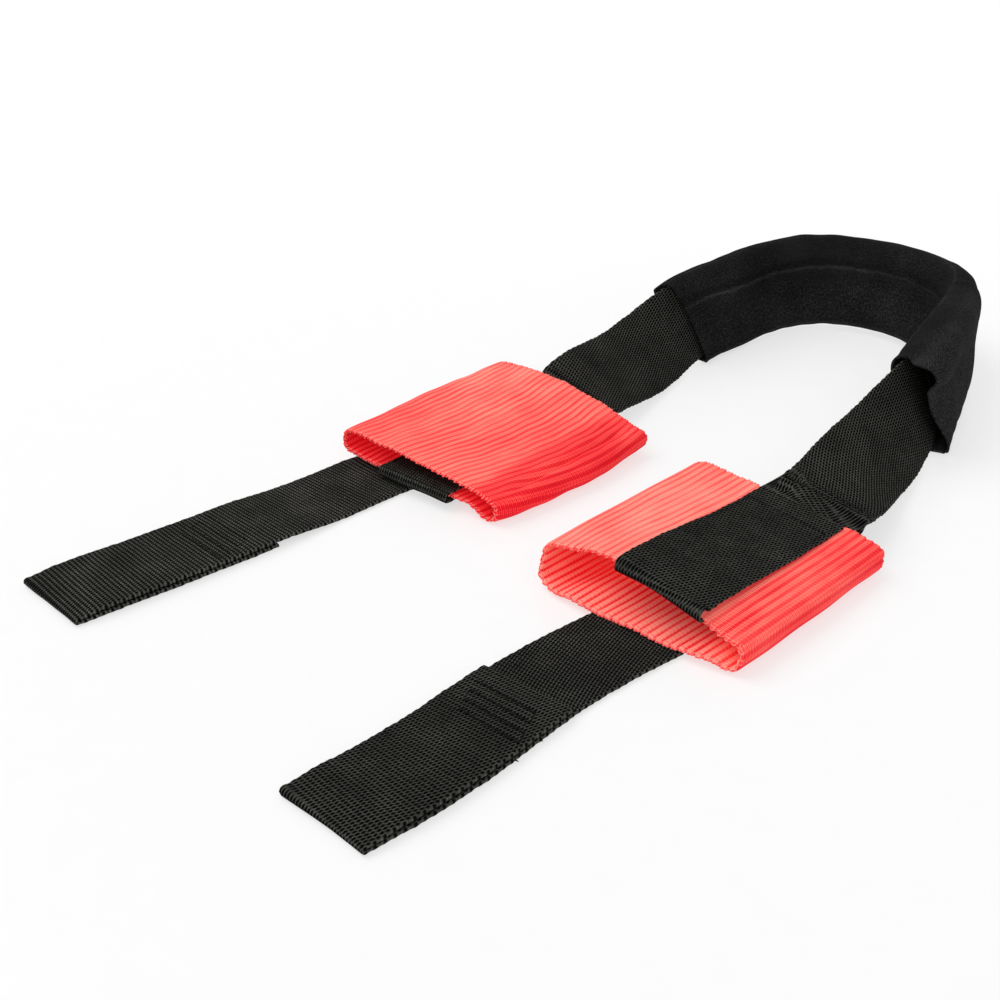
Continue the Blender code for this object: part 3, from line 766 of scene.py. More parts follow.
def soft_shape(side, u, v, z, high):
    """How the soft cuff differs from its plain tube: fuller folds, a crowned top, a pinched corner."""
    along = (v + CUFF_LENGTH / 2) / CUFF_LENGTH
    left = np.clip(-u / side.half_width, 0.0, 1.0) ** 3
    right = np.clip(u / side.half_width, 0.0, 1.0) ** 3
    upper = np.clip(high, 0.0, 1.0)
    if side is LEFT:
        pinch = 0.40 * ease((u - 22.0) / 28.0) * ease((v - 15.0) / 44.0)
        z = 8.5 + (z - 8.5) * (1.0 - pinch)
        belly = np.sin(math.pi * np.clip(along * 0.9 + 0.05, 0.0, 1.0))
        ahead = right * (2.0 * along - 4.5 * (1.0 - along) ** 2)
        u = u - left * (11.5 - 6.0 * along) + ahead + right * belly * (1.0 + 4.5 * (1.0 - upper))
        z = z + upper * 2.4 * np.exp(-((u + 8.0) / 30.0) ** 2) * ease(along * 1.3 - 0.3)
        lasting = upper * ease((along - 0.05) / 0.2) * ease((0.98 - along) / 0.2)
        groove = np.exp(-((u - 46.8) / 1.9) ** 2)
        ridge = np.exp(-((u - 42.0) / 2.4) ** 2)
        z = z + lasting * (0.7 * ridge - 1.9 * groove)
    else:
        u = u - left * 3.2 + right * (1.2 * np.sin(math.pi * along) + 0.8)
        crown = ease((u + 50.0) / 30.0) * (1.0 - ease(along * 1.15)) * (6.2 - 5.6 * ease((u - 4.0) / 42.0))
        z = z + upper * (left * 1.5 + crown)
    return u, z


def cuff_top(side, u, v):
    """Height of the middle of the soft cuff's bound wall."""
    z = float(side.wall(u, v, side.binding_on_top))
    high = 1.0 if side.binding_on_top else -1.0
    _, z = soft_shape(side, np.array((float(u),)), np.array((float(v),)), np.array((z,)), np.array((high,)))
    return float(z[0])


def line_frame(line, length):
    """Middle, direction across and face direction of a line at a length."""
    here, before, after = line.at(np.array((length, length - 1.0, length + 1.0)))
    ahead = unit(after[:3] - before[:3])
    over = unit(here[3:6] - ahead * np.dot(here[3:6], ahead))
    return here[:3], over, np.cross(over, ahead)


def seam_lengths(side, arm):
    """Lengths along the arm's line where the binding is sewn to it, from the free end to the cuff."""
    places = arm.at(np.arange(0.0, min(arm.length, 140.0), 0.5))
    seam, _, _, _ = behind_cuff(side)
    if side.binding_on_top:
        high = np.argmax(places[:, 2] > seam[2] * 0.96)
    else:
        high = np.argmax(places[:, 2] > 4.0)
    return 0.5 * high + np.array(SEAM_LAP[side.name])


def blend_between(piece):
    """Bake a piece's placing into its mesh."""
    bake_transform(piece)


def mouth_reach(side, u, v, high):
    """How far the soft cuff's walls reach beyond or fall short of its plain ends."""
    half = CUFF_LENGTH / 2
    front = np.clip(-v / half, 0.0, 1.0) ** 2
    back = np.clip(v / half, 0.0, 1.0)
    if side is LEFT:
        return 0.0
    lower = np.clip(-high, 0.0, 1.0) * np.clip(1.0 - (u / 54.0) ** 4, 0.0, 1.0)
    return -back * 2.0 * (u < 0) - front * lower * 4.6


def under_cuff(side, share):
    """Place and direction across of the strap's flat run under the cuff, from the tail to its back edge."""
    _, _, fold = tail_frame(side)
    seam, _, _, back = behind_cuff(side)
    low = WEB_THICK / 2 + TOUCH
    start = tail_at(side, fold, low)
    lead = unit(start - tail_at(side, fold - 2.0, low))
    end = np.array((seam[0], seam[1] - 4.0, low))
    reach = np.linalg.norm(end - start)
    t = share
    place = (2 * t ** 3 - 3 * t ** 2 + 1) * start + (3 * t ** 2 - 2 * t ** 3) * end
    place = place + reach * ((t ** 3 - 2 * t ** 2 + t) * lead + (t ** 3 - t ** 2) * back)
    way = 6 * (t - t ** 2) * (end - start)
    way = way + reach * ((3 * t ** 2 - 4 * t + 1) * lead + (3 * t ** 2 - 2 * t) * back)
    return place, unit(np.array((way[1], -way[0], 0.0)))


# ---------------------------------------------------------------- webbing

def rib_rows(length):
    """Lengths of the rows across a strip and each row's height on its rib, 0 in the valley to 1."""
    count = int(length / RIB_PITCH)
    phases = np.array(RIB_PHASES)
    rows = (np.arange(count)[:, None] + phases[None, :]).ravel()
    rows = np.append(rows, count)
    rise = np.abs(np.sin(math.pi * rows)) ** 0.6
    every_second = 1.0 - 0.18 * (rows.astype(int) % 2)
    return rows * length / count, rise * every_second


def webbing(name, curve, look, seed, width=WEB_WIDTH, thick=WEB_THICK, thin=None, dent=None):
    """A strip of webbing on a line, ribs and scalloped edges in its mesh; thin and dent vary it by length."""
    rows, rise = rib_rows(curve.length)
    values = curve.at(rows)
    middle = values[:, :3]
    across = unit(values[:, 3:6])
    ahead = unit(curve.at(np.clip(rows + 1.0, 0, curve.length))[:, :3]
                 - curve.at(np.clip(rows - 1.0, 0, curve.length))[:, :3])
    across = unit(across - ahead * np.sum(across * ahead, axis=1, keepdims=True))
    face = unit(np.cross(across, ahead))
    half = width / 2
    flat = half - SELVEDGE_ROUNDING
    inner = np.linspace(-flat, flat, ACROSS_POINTS)
    edge = np.array((0.0, 0.35, 0.75)) * math.pi / 2
    inset = SELVEDGE_ROUNDING * (1 - np.cos(edge))
    upper_u = np.concatenate((-half + inset, inner, half - inset[::-1]))
    lift = np.concatenate((np.sin(edge), np.ones(ACROSS_POINTS), np.sin(edge[::-1])))
    lift = 0.35 + 0.65 * lift
    u = np.concatenate((upper_u, upper_u[::-1]))
    w = np.concatenate((lift, -lift[::-1]))
    grid_u = np.repeat(u[None, :], len(rows), axis=0)
    grid_s = np.repeat(rows[:, None], len(u), axis=1)
    scallop = np.cos(math.pi * rows / RIB_PITCH)[:, None] * np.sign(grid_u)
    at_edge = ease((np.abs(grid_u) - (half - 3.0)) / 3.0)
    shift = np.sign(grid_u) * at_edge * SCALLOP_DEPTH * 0.5 * (scallop - 1.0)
    shift += at_edge * 0.15 * wander((grid_s,), 14.0, seed)
    level = 1.0 - (1.0 - rise[:, None]) * (RIB_HEIGHT / (thick / 2))
    level = level * (1.0 - 0.1 * at_edge)
    if thin:
        level = level * thin(rows)[:, None]
    ripple = 0.12 * wander((grid_u, grid_s), 40.0, seed + 7)
    if dent:
        ripple = ripple - dent(grid_u, grid_s) * np.sign(w)[None, :]
    points = (middle[:, None, :] + across[:, None, :] * (grid_u + shift)[:, :, None]
              + face[:, None, :] * (w[None, :] * level * thick / 2 + ripple)[:, :, None])
    points[:, :, 2] = np.maximum(points[:, :, 2], FLOOR_TOUCH)
    uv = np.stack((np.append(u, u[0])[None, :].repeat(len(rows), axis=0),
                   rows[:, None].repeat(len(u) + 1, axis=1)), axis=-1)
    piece = make_piece(name, points, uv, look)
    return piece


# ---------------------------------------------------------------- thread

def stitches(name, runs, look, radius, rise=0.35, sides_count=6):
    """Short arched stitches; a run is (start, end, up) in drawing millimetres."""
    steps = np.array((0.0, 0.18, 0.5, 0.82, 1.0))
    girth = np.array((0.55, 0.95, 1.0, 0.95, 0.55))
    arch = np.array((-0.4, 0.6, 1.0, 0.6, -0.4))
    angles = np.linspace(0.0, 2 * math.pi, sides_count, endpoint=False)
    points = []
    faces = []
    for start, end, up in runs:
        start = np.asarray(start, float)
        end = np.asarray(end, float)
        ahead = unit(end - start)
        up = unit(up - ahead * np.dot(up, ahead))
        aside = np.cross(ahead, up)
        base = len(points)
        for t, wide, high in zip(steps, girth, arch):
            centre = start + (end - start) * t + up * (radius * 0.4 + rise * high * 0.5)
            for angle in angles:
                points.append(centre + (aside * math.cos(angle) + up * math.sin(angle)) * radius * wide)
        for row in range(len(steps) - 1):
            for k in range(sides_count):
                a = base + row * sides_count + k
                b = base + row * sides_count + (k + 1) % sides_count
                faces.append((a, b, b + sides_count, a + sides_count))
        for row in (0, len(steps) - 1):
            first = base + row * sides_count
            for k in range(1, sides_count - 1, 2):
                faces.append((first, first + k, first + k + 1, first + (k + 2) % sides_count))
    piece = mesh_piece(name, np.array(points), np.array(faces), None, look)
    return piece


def stitch_row(start, end, up, pitch=STITCH_PITCH):
    """Evenly spaced stitches along a straight row."""
    start = np.asarray(start, float)
    end = np.asarray(end, float)
    count = max(1, int(round(np.linalg.norm(end - start) / pitch)))
    runs = []
    for k in range(count):
        a = start + (end - start) * (k / count)
        b = start + (end - start) * ((k + STITCH_FILL) / count)
        runs.append((a, b, up))
    return runs


# ---------------------------------------------------------------- cuffs

def cuff_ring(side, v, count):
    """The middle line of the cuff's wall at v: evenly spaced places and how high each lies, -1 to 1."""
    angle = np.linspace(0.0, 2 * math.pi, 1800, endpoint=False)
    wide = np.copysign(np.abs(np.cos(angle)) ** CUFF_FOLD_POWER, np.cos(angle))
    high = np.copysign(np.abs(np.sin(angle)) ** CUFF_FOLD_POWER, np.sin(angle))
    u = wide * (side.half_width - CUFF_WALL / 2)
    top = side.wall(u, v, True)
    low = side.wall(u, v, False)
    z = (top + low) / 2 + high * (top - low) / 2
    wanted = 1.0 if side.binding_on_top else -1.0
    distance = np.where(high * wanted > 0.5, np.abs(u - side.binding_u), np.inf)
    first = int(np.argmin(distance))
    u, z = soft_shape(side, u, np.full(len(u), float(v)), z, high)
    loop = np.stack([np.roll(x, -first) for x in (u, z, high)], axis=1)
    loop = np.vstack((loop, loop[:1]))
    reach = np.concatenate(((0.0,), np.cumsum(np.linalg.norm(np.diff(loop[:, :2], axis=0), axis=1))))
    places = np.linspace(CUFF_SLIT / 2, reach[-1] - CUFF_SLIT / 2, count)
    ring = np.stack([np.interp(places, reach, loop[:, k]) for k in (0, 1, 2)], axis=1)
    return ring[:, :2], ring[:, 2], places


def build_cuff(side, look):
    """The ribbed tube: ribs run along it on both faces, and its cut edges wave with them."""
    _, _, places = cuff_ring(side, 0.0, 2)
    ribs = round((places[-1] - places[0]) / CUFF_RIB_PITCH)
    count = ribs * POINTS_PER_RIB + 1
    half = CUFF_LENGTH / 2
    rim = np.array(RIM_ROWS)
    stations = np.concatenate((rim - half, np.linspace(-half + 5, half - 5, CUFF_STATIONS), half - rim[::-1]))
    outer = []
    inner = []
    painted_shading = []
    seed = CUFF_SEED[side.name]
    share = np.linspace(0.0, ribs, count)
    arc = share * CUFF_RIB_PITCH
    for v in stations:
        ring, high, _ = cuff_ring(side, v, count)
        at_v = np.full(count, v)
        wave = np.abs(np.sin(math.pi * (share + 0.06 * wander((arc, at_v), 60.0, seed))))
        vary = 1.0 + 0.3 * wander((share * 3.0, at_v), 26.0, seed + 1)
        ahead = np.gradient(ring, axis=0)
        normal = unit(np.stack((ahead[:, 1], -ahead[:, 0]), axis=1))
        end = min(half - abs(v), RIM_LENGTH) / RIM_LENGTH
        tuck = (1.0 - end) ** 2 * RIM_TUCK
        sag = wander((arc, at_v), 75.0, seed + 2) * 0.45 + wander((arc, at_v * 0.3), 16.0, seed + 5) * 0.22
        lobe = 0.5 * (wave ** 0.8 - 0.5) + 0.25 * wander((arc,), 7.0, seed + 3)
        along = v + np.sign(v) * (1.0 - end) * lobe + mouth_reach(side, ring[:, 0], v, high)
        deep = CUFF_RIB_HEIGHT * (1.0 + 0.5 * (1.0 - end))
        push = CUFF_WALL / 2 + deep * (wave ** 0.5 - 1.0) * vary - tuck
        pull = CUFF_INNER_WALL + CUFF_INNER_RIB * (wave ** 0.8 - 1.0) * vary - tuck
        # Painted light and shade: lighter on the top, darker down the flanks and towards the right fold, and
        # CUFF_INSIDE's painted shade on the inside.
        painted_light = ease((high + 0.2) / 1.1) * (1.0 - 0.62 * ease((ring[:, 0] / side.half_width - 0.52) / 0.2))
        painted_shading.append(np.concatenate((painted_light, np.full(count, CUFF_INSIDE))))
        for rings, offset in ((outer, push + sag), (inner, sag - pull)):
            moved = ring + normal * offset[:, None]
            rings.append(side.place(moved[:, 0], along, moved[:, 1]))
    outer = np.array(outer)
    inner = np.array(inner)
    grid = np.concatenate((outer, inner[:, ::-1]), axis=1)
    ring_u = np.concatenate((arc, arc[::-1], arc[:1]))
    uv = np.stack((np.repeat(ring_u[None, :], len(stations), axis=0),
                   np.repeat(stations[:, None], len(ring_u), axis=1)), axis=-1)
    piece = make_piece(f"{side.name}_cuff_shell", grid, uv, look, 60.0)
    layer = piece.data.attributes.new("painted_shading", "FLOAT", "POINT")
    layer.data.foreach_set("value", np.array(painted_shading, np.float32).ravel())
    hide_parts(f"{side.name}_cuff")
    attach(piece, f"{side.name}_cuff_tube")
    return outer, inner


def build_edge_stitches(side, outer, inner, look):
    """Overlock stitches over the cuff's two cut edges, in the cuff's own colour."""
    runs = []
    rng = np.random.default_rng(EDGE_SEED)
    count = outer.shape[1]
    for rim, deep in ((0, 2), (-1, -3)):
        for k in range(2, count - 5, 4):
            away = unit(outer[rim, k] - outer[deep, k])
            up = unit(outer[rim, k] - inner[rim, k])
            shift = int(rng.integers(0, 3))
            first = outer[deep, k + shift] + up * rng.uniform(0.0, 0.1)
            over = outer[rim, k] + away * rng.uniform(0.05, 0.3) + up * 0.05
            under = inner[rim, k + 2] + away * 0.12
            last = inner[deep, k + 4] - up * 0.12
            runs += [(first, over, up), (over, under, away), (under, last, -up)]
    piece = stitches(f"{side.name}_cuff_edge_threads", runs, look, EDGE_THREAD, rise=0.05, sides_count=5)
    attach(piece, f"{side.name}_cuff_tube")


def build_binding(side, look, arm):
    """The strip that joins the cuff's ends, folded round the front edge and sewn to the arm behind."""
    up = 1.0 if side.binding_on_top else -1.0
    outside = up * (CUFF_WALL / 2 + TOUCH + BINDING_THICK / 2)
    inside = -up * (CUFF_INNER_WALL + TOUCH + BINDING_THICK / 2)
    front = -CUFF_LENGTH / 2 - BINDING_NOSE[side.name]
    back = CUFF_LENGTH / 2
    across_at = side.binding_u + BINDING_SHIFT[side.name]
    path = []
    sides = []

    def add(v, offset):
        reach = min(max(v, -back), back)
        z = cuff_top(side, across_at, reach)
        rise = cuff_top(side, across_at + 10.0, reach) - cuff_top(side, across_at - 10.0, reach)
        path.append(side.place(across_at, v, z + offset))
        sides.append(side.place(20.0, 0.0, rise) - side.place(0.0, 0.0, 0.0))

    for length in seam_lengths(side, arm):
        here, over, face = line_frame(arm, length)
        path.append(here + face * (WEB_THICK / 2 + BINDING_THICK / 2 + TOUCH))
        sides.append(over)
    stop = back - BINDING_OUTER_END[side.name]
    for v in np.linspace(stop, front, 24):
        add(v, outside)
    radius = (outside - inside) / 2
    for k in range(1, BINDING_TURNS):
        angle = math.pi * k / BINDING_TURNS
        add(front - abs(radius) * 0.75 * math.sin(angle), (outside + inside) / 2 + radius * math.cos(angle))
    for v in np.linspace(front, back - BINDING_INNER_END, 20):
        add(v, inside)
    line = Line(path, sides, 1.0)
    piece = webbing(f"{side.name}_binding_web", line, look, BINDING_SEED[side.name],
                    width=BINDING_WIDTH, thick=BINDING_THICK)
    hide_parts(f"{side.name}_cuff_binding")
    hinge = side.place(0.0, CUFF_LENGTH / 2, max(side.heights[1]) + GAP)
    ahead = unit(side.place(0.0, 1.0, 0.0) - side.place(0.0, 0.0, 0.0))
    blend_between(piece)


# ---------------------------------------------------------------- sleeve

# The sleeve's section at shares of its length: places (towards the upper edge, outwards), from the inner
# wall's bottom, up inside the bend, over the top and down the outer wall.
SLEEVE_SECTIONS = (
    (0.00, ((-27.0, -3.0), (-14.0, -4.4), (0.0, -4.8), (8.0, -5.2), (16.0, -4.6), (23.5, -3.6),
            (26.5, -1.0), (26.8, 2.0), (25.0, 4.6), (17.0, 5.4), (9.0, 5.8), (0.0, 6.0),
            (-12.0, 5.6), (-22.0, 4.6), (-27.6, 2.6), (-28.4, -0.4))),
    (0.14, ((-27.0, -3.4), (-14.0, -5.0), (0.0, -4.9), (8.0, -6.0), (16.0, -5.0), (24.0, -3.4),
            (27.0, -0.6), (27.2, 2.0), (25.4, 4.4), (17.0, 6.0), (9.0, 6.4), (0.0, 6.4),
            (-12.0, 6.0), (-22.0, 5.0), (-27.6, 3.0), (-28.4, -0.2))),
    (0.45, ((-26.6, -3.4), (-14.0, -5.4), (0.0, -4.7), (8.0, -6.3), (16.0, -5.0), (23.6, -3.2),
            (26.6, -0.4), (27.0, 2.0), (25.2, 4.8), (17.0, 6.6), (9.0, 7.0), (0.0, 7.0),
            (-12.0, 6.4), (-22.0, 5.4), (-27.0, 3.2), (-28.0, 0.0))),
    (0.62, ((-26.6, -3.4), (-14.0, -5.2), (0.0, -4.7), (8.0, -6.1), (16.0, -5.2), (24.6, -4.4),
            (27.4, -2.6), (27.4, 3.0), (26.0, 7.6), (19.0, 11.2), (10.0, 12.0), (0.0, 10.8),
            (-12.0, 9.0), (-22.0, 7.0), (-27.2, 4.0), (-28.0, 0.0))),
    (0.78, ((-27.0, -3.2), (-14.0, -4.6), (0.0, -4.7), (8.0, -5.6), (16.0, -5.0), (24.4, -4.8),
            (27.0, -2.8), (27.0, 4.0), (26.0, 11.0), (20.5, 15.6), (12.0, 15.4), (3.0, 14.0),
            (-10.0, 12.6), (-21.0, 9.6), (-27.6, 5.4), (-28.6, 0.6))),
    (0.90, ((-28.0, -2.6), (-14.0, -4.0), (0.0, -4.5), (8.0, -4.9), (16.0, -4.8), (23.8, -5.2),
            (27.2, -3.2), (27.2, 4.6), (26.0, 14.6), (22.0, 20.6), (15.0, 20.2), (6.0, 15.2),
            (-8.0, 12.0), (-21.0, 9.4), (-29.0, 6.2), (-30.4, 1.4))),
    (1.00, ((-29.5, -2.8), (-14.0, -3.6), (0.0, -3.8), (8.0, -4.2), (16.0, -4.6), (22.8, -4.8),
            (26.6, -2.4), (26.4, 4.6), (25.0, 13.0), (24.6, 20.6), (19.6, 26.0), (12.8, 24.8),
            (7.4, 15.4), (-6.0, 9.8), (-26.5, 9.0), (-32.6, 3.2))),
)
# How far each of those places is shifted along the strap at the left and at the right mouth
LEFT_MOUTH_SHIFT = (0.0, 0.0, 0.0, 0.0, 0.0, -0.5, -2.5, -5.0, -6.0, -5.0,
                    -4.0, -3.0, -2.0, -1.0, 0.0, 0.0)
RIGHT_MOUTH_SHIFT = (-4.0, -4.0, -4.0, -4.0, -5.0, -7.5, -9.5, -8.5, -1.0, 5.0,
                     4.7, 3.6, 0.4, -1.0, -4.0, -5.0)


def ring_through(places, count):
    """A smooth closed ring through places, or through numbers, evenly spaced by their order."""
    places = np.array(places, float).reshape(len(places), -1)
    total = len(places)
    turn = np.linspace(0.0, total, count, endpoint=False)
    index = turn.astype(int)
    t = (turn - index)[:, None]
    before, start, end, after = (places[(index + k) % total] for k in (-1, 0, 1, 2))
    return through(before, start, end, after, t), turn


def build_sleeve(look, thread):
    """The loose canvas tube, thick enough to show its cut, with its long crease and soft folds."""
    start = ROUTE.where_y(SLEEVE_LEFT_Y, False)
    end = ROUTE.where_y(SLEEVE_RIGHT_Y, True)
    rows = int((end - start) / SLEEVE_STEP)
    shares = np.linspace(0.0, 1.0, rows)
    keys = np.array([stop[0] for stop in SLEEVE_SECTIONS])
    rings = np.array([ring_through(stop[1], SLEEVE_RING)[0] for stop in SLEEVE_SECTIONS])
    left_shift, turn = ring_through(LEFT_MOUTH_SHIFT, SLEEVE_RING)
    right_shift, _ = ring_through(RIGHT_MOUTH_SHIFT, SLEEVE_RING)
    outer = []
    inner = []
    for share in shares:
        section = np.stack([[np.interp(share, keys, rings[:, k, c]) for k in range(SLEEVE_RING)]
                            for c in range(2)], axis=1)
        k = min(int(np.searchsorted(keys, share, side="right")) - 1, len(keys) - 2)
        local = (share - keys[k]) / (keys[k + 1] - keys[k])
        eased = rings[k] * (1 - ease(local)) + rings[k + 1] * ease(local)
        section = 0.5 * section + 0.5 * eased
        near_left = max(1 - share / keys[1], 0.0)
        near_right = max((share - keys[-2]) / (1 - keys[-2]), 0.0)
        shift = left_shift[:, 0] * near_left ** 2 + right_shift[:, 0] * near_right ** 2
        ahead = np.roll(section, -1, axis=0) - np.roll(section, 1, axis=0)
        normal = unit(np.stack((-ahead[:, 1], ahead[:, 0]), axis=1))
        s = start + share * (end - start)
        at_s = np.full(len(turn), s)
        loose = 0.30 * wander((turn * 1.6, at_s * 0.25), 22.0, 5) + 0.18 * wander((turn * 3.0, at_s), 30.0, 6)
        for place, depth, width in SLEEVE_FOLDS:
            gap = (s - start - place * (end - start) + section[:, 0] * 0.12) / width
            loose = loose - depth * np.exp(-gap * gap) * np.clip(section[:, 0] / 20.0 + 0.6, 0.0, 1.0)
        inside = ease(-section[:, 1] / 3.0)
        gap = section[:, 0] - CREASE_PLACE - 1.2 * math.sin(share * 9.0)
        ridge = 1.2 * np.exp(-(gap / 1.4) ** 2) - 0.4 * np.exp(-((gap + 4.0) / 3.0) ** 2)
        loose = loose + inside * ridge * ease((share - 0.05) / 0.08) * ease((0.97 - share) / 0.1)
        flank = section[:, 0] - 6.0 + 22.0 * (1.0 - share)
        pleat = 0.9 * np.exp(-(flank / 1.8) ** 2) * ease(section[:, 1] / 8.0) * ease((share - 0.86) / 0.06)
        moved = section + normal * (loose + pleat)[:, None]
        slide = np.clip(s + shift, 0.0, ROUTE.length)
        middle, across, face = ROUTE.frames(slide)
        wall = normal * CANVAS_THICK
        for rings_out, place in ((outer, moved), (inner, moved - wall)):
            rings_out.append(middle + across * place[:, 0:1] + face * place[:, 1:2])
    outer = np.array(outer)
    inner = np.array(inner)
    outer[:, :, 2] = np.maximum(outer[:, :, 2], SLEEVE_FLOOR)
    inner[:, :, 2] = np.maximum(inner[:, :, 2], SLEEVE_FLOOR + CANVAS_THICK)
    points, faces, corner = tube_mesh(outer, inner, shares * (end - start), turn / turn[-1] * CANVAS_ROUND)
    piece = mesh_piece("sleeve_cover", points, faces, corner, look, 75.0)
    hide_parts("sleeve")
    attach(piece, "sleeve_tube")
    for name, row in (("left", 4), ("right", -5)):
        away = unit(outer[row] - inner[row])
        runs = [(outer[row, k], outer[row, (k + 2) % SLEEVE_RING], away[k]) for k in range(0, SLEEVE_RING, 3)]
        threads = stitches(f"sleeve_{name}_hem_threads", runs, thread, EDGE_THREAD, rise=0.05)
        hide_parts(f"sleeve_{name}_hem_stitching")
        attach(threads, "sleeve_tube")


def tube_mesh(outer, inner, along, around):
    """Points, quads and cloth coordinates of a thin-walled tube with closed rims."""
    rows, cols = outer.shape[:2]
    points = np.vstack((outer.reshape(-1, 3), inner.reshape(-1, 3)))
    row, col, wall = grid_faces(rows, cols)
    around = np.append(around, around[-1] + around[1] - around[0])
    u0, u1 = around[col], around[col + 1]
    s0, s1 = along[row], along[row + 1]
    corner = np.stack([np.stack(pair, -1) for pair in ((u0, s0), (u1, s0), (u1, s1), (u0, s1))], axis=-2)
    corner = corner.reshape(-1, 2)
    total = rows * cols
    faces = [wall, wall + total]
    corners = [corner, corner]
    ring = np.arange(cols)
    after = (ring + 1) % cols
    for end in (0, rows - 1):
        base = end * cols
        rim = (base + ring, base + after, base + after + total, base + ring + total)
        faces.append(np.stack(rim, axis=-1))
        a = np.stack((around[:-1], np.full(cols, along[end])), -1)
        b = np.stack((around[1:], np.full(cols, along[end])), -1)
        corners.append(np.stack((a, b, b + (0, 1.0), a + (0, 1.0)), axis=-2).reshape(-1, 2))
    return points, np.vstack(faces), np.vstack(corners)


# ---------------------------------------------------------------- straps

def build_straps(look, looks):
    """The bridge strap in the sleeve, the arms, and the tails with their loops; returns the arms' lines."""
    mouth_left = ROUTE.where_y(SLEEVE_LEFT_Y, False)
    mouth_right = ROUTE.where_y(SLEEVE_RIGHT_Y, True)
    swing_left = ROUTE.where_y(LEFT_SWING_Y, False)
    swing_right = ROUTE.where_y(RIGHT_SWING_Y, True)
    path, over = route_path(mouth_left + SLEEVE_OVERLAP, mouth_right - SLEEVE_OVERLAP)
    line = Line(path, over)
    bridge = webbing("bridge_web", line, look, BRIDGE_SEED)
    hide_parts("bridge_strap")
    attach(bridge, "bridge")
    arms = {}
    for side, inner, swing in ((LEFT, mouth_left + SLEEVE_OVERLAP - 0.4, swing_left),
                               (RIGHT, mouth_right - SLEEVE_OVERLAP + 0.4, swing_right)):
        line = arm_line(side, inner)
        arms[side.name] = line
        arm = webbing(f"{side.name}_arm_web", line, look, ARM_SEED[side.name])
        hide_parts(f"{side.name}_arm_strap", f"{side.name}_lead_strap")
        reach = SWING_REACH if side is LEFT else -SWING_REACH
        near, far = ROUTE.frames((swing + reach, swing - reach))[0]
        blend_between(arm)
        ahead, _, fold = tail_frame(side)
        line = tail_line(side)
        nose = line.reach[int(np.argmax(np.dot(line.values[:, :3] - side.tail_tip, -ahead)))]

        def thin(rows, nose=nose):
            return NOSE_LAYER + (1 - NOSE_LAYER) * ease((np.abs(rows - nose) - 2.0) / NOSE_REACH)

        centre = 0.0 if side.fold_back_on_top else 2 * nose

        def dent(u, s, centre=centre, deep=ROW_DENT[side.name]):
            rows = sum(np.exp(-((np.abs(s - centre) - row) / 1.1) ** 2) for row in LOOP_ROWS)
            return deep * rows * (np.abs(u) < 20.0)

        tail = webbing(f"{side.name}_tail_web", line, looks[side.name], TAIL_SEED[side.name],
                       thin=thin, dent=dent)
        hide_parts(f"{side.name}_tail_strap", f"{side.name}_end_loop")
        blend_between(tail)
    return arms


def build_threads(thread, arms):
    """The rows that close each loop, the band behind each cuff and the rows round each binding."""
    for side in (LEFT, RIGHT):
        ahead, across, _ = tail_frame(side)
        top = 2 * WEB_THICK + LOOP_GAP + THREAD_LIFT
        length = LOOP_LENGTH[side.name]
        rng = np.random.default_rng(LOOP_ROW_SEED)
        runs = []
        for row, inset in enumerate(LOOP_ROWS):
            left = ROW_START + ROW_SHIFT * row
            shifts = np.linspace(left, left + ROW_WIDTH, ROW_STEPS + 1)
            for k in range(ROW_STEPS):
                swing = (ROW_SWING if k % 2 else -ROW_SWING) * rng.uniform(0.5, 1.4)
                a = tail_at(side, length - inset - swing, top) + across * shifts[k]
                b = tail_at(side, length - inset + swing, top) + across * shifts[k + 1]
                runs.append((a, b, UP))
        for row in range(len(LOOP_ROWS) - 1):
            turn_at = ROW_START + ROW_SHIFT * row + (ROW_WIDTH if row % 2 == 0 else 0.0)
            a = tail_at(side, length - LOOP_ROWS[row], top) + across * turn_at
            b = tail_at(side, length - LOOP_ROWS[row + 1], top) + across * (turn_at + ROW_SHIFT)
            runs += stitch_row(a, b, UP, 2.2)
        for distance, out, high in LOOSE_ENDS if side.fold_back_on_top else ():
            root = tail_at(side, distance, 0.4 + 0.5 * high) + across * (WEB_WIDTH / 2 - 0.8)
            runs.append((root, root + across * out + ahead * (0.6 * high) + UP * high * 0.4, UP))
        piece = stitches(f"{side.name}_loop_threads", runs, thread, LOOP_THREAD[side.name])
        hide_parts(f"{side.name}_loop_stitching")
        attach(piece, f"{side.name}_tail")

        runs = []
        arm = arms[side.name]
        lap = seam_lengths(side, arm)
        lift = WEB_THICK / 2 + THREAD_LIFT + (BINDING_THICK + TOUCH if side.binding_on_top else 0.0)
        base = lap[-1] + 1.5 if side.binding_on_top else lap[0] + 10.0
        for length in (base, base + 3.5):
            here, over, face = line_frame(arm, length)
            here = here + face * lift
            runs += stitch_row(here - over * 20.0, here + over * 20.0, face)
        piece = stitches(f"{side.name}_seam_threads", runs, thread, SEAM_THREAD)
        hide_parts(f"{side.name}_seam_stitching")
        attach(piece, f"{side.name}_arm")

        runs = []
        wall = CUFF_WALL / 2 if side.binding_on_top else CUFF_INNER_WALL
        lift = wall + TOUCH + BINDING_THICK + 0.03
        front = -CUFF_LENGTH / 2 + 4.0
        back = CUFF_LENGTH / 2 - 18.0
        reach = BINDING_WIDTH / 2 - 3.0
        corners = []
        for step, v in ((-reach, front), (reach, front), (reach, back), (-reach, back)):
            u = side.binding_u + BINDING_SHIFT[side.name] + step
            corners.append(side.place(u, v, cuff_top(side, u, v) + lift))
        for a, b in ((0, 1), (1, 2), (2, 3), (3, 0)):
            runs += stitch_row(corners[a], corners[b], UP, 2.6)
        piece = stitches(f"{side.name}_cuff_threads", runs, thread, CUFF_THREAD)
        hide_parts(f"{side.name}_cuff_stitching")
        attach(piece, f"{side.name}_cuff_tube")


# ---------------------------------------------------------------- setting

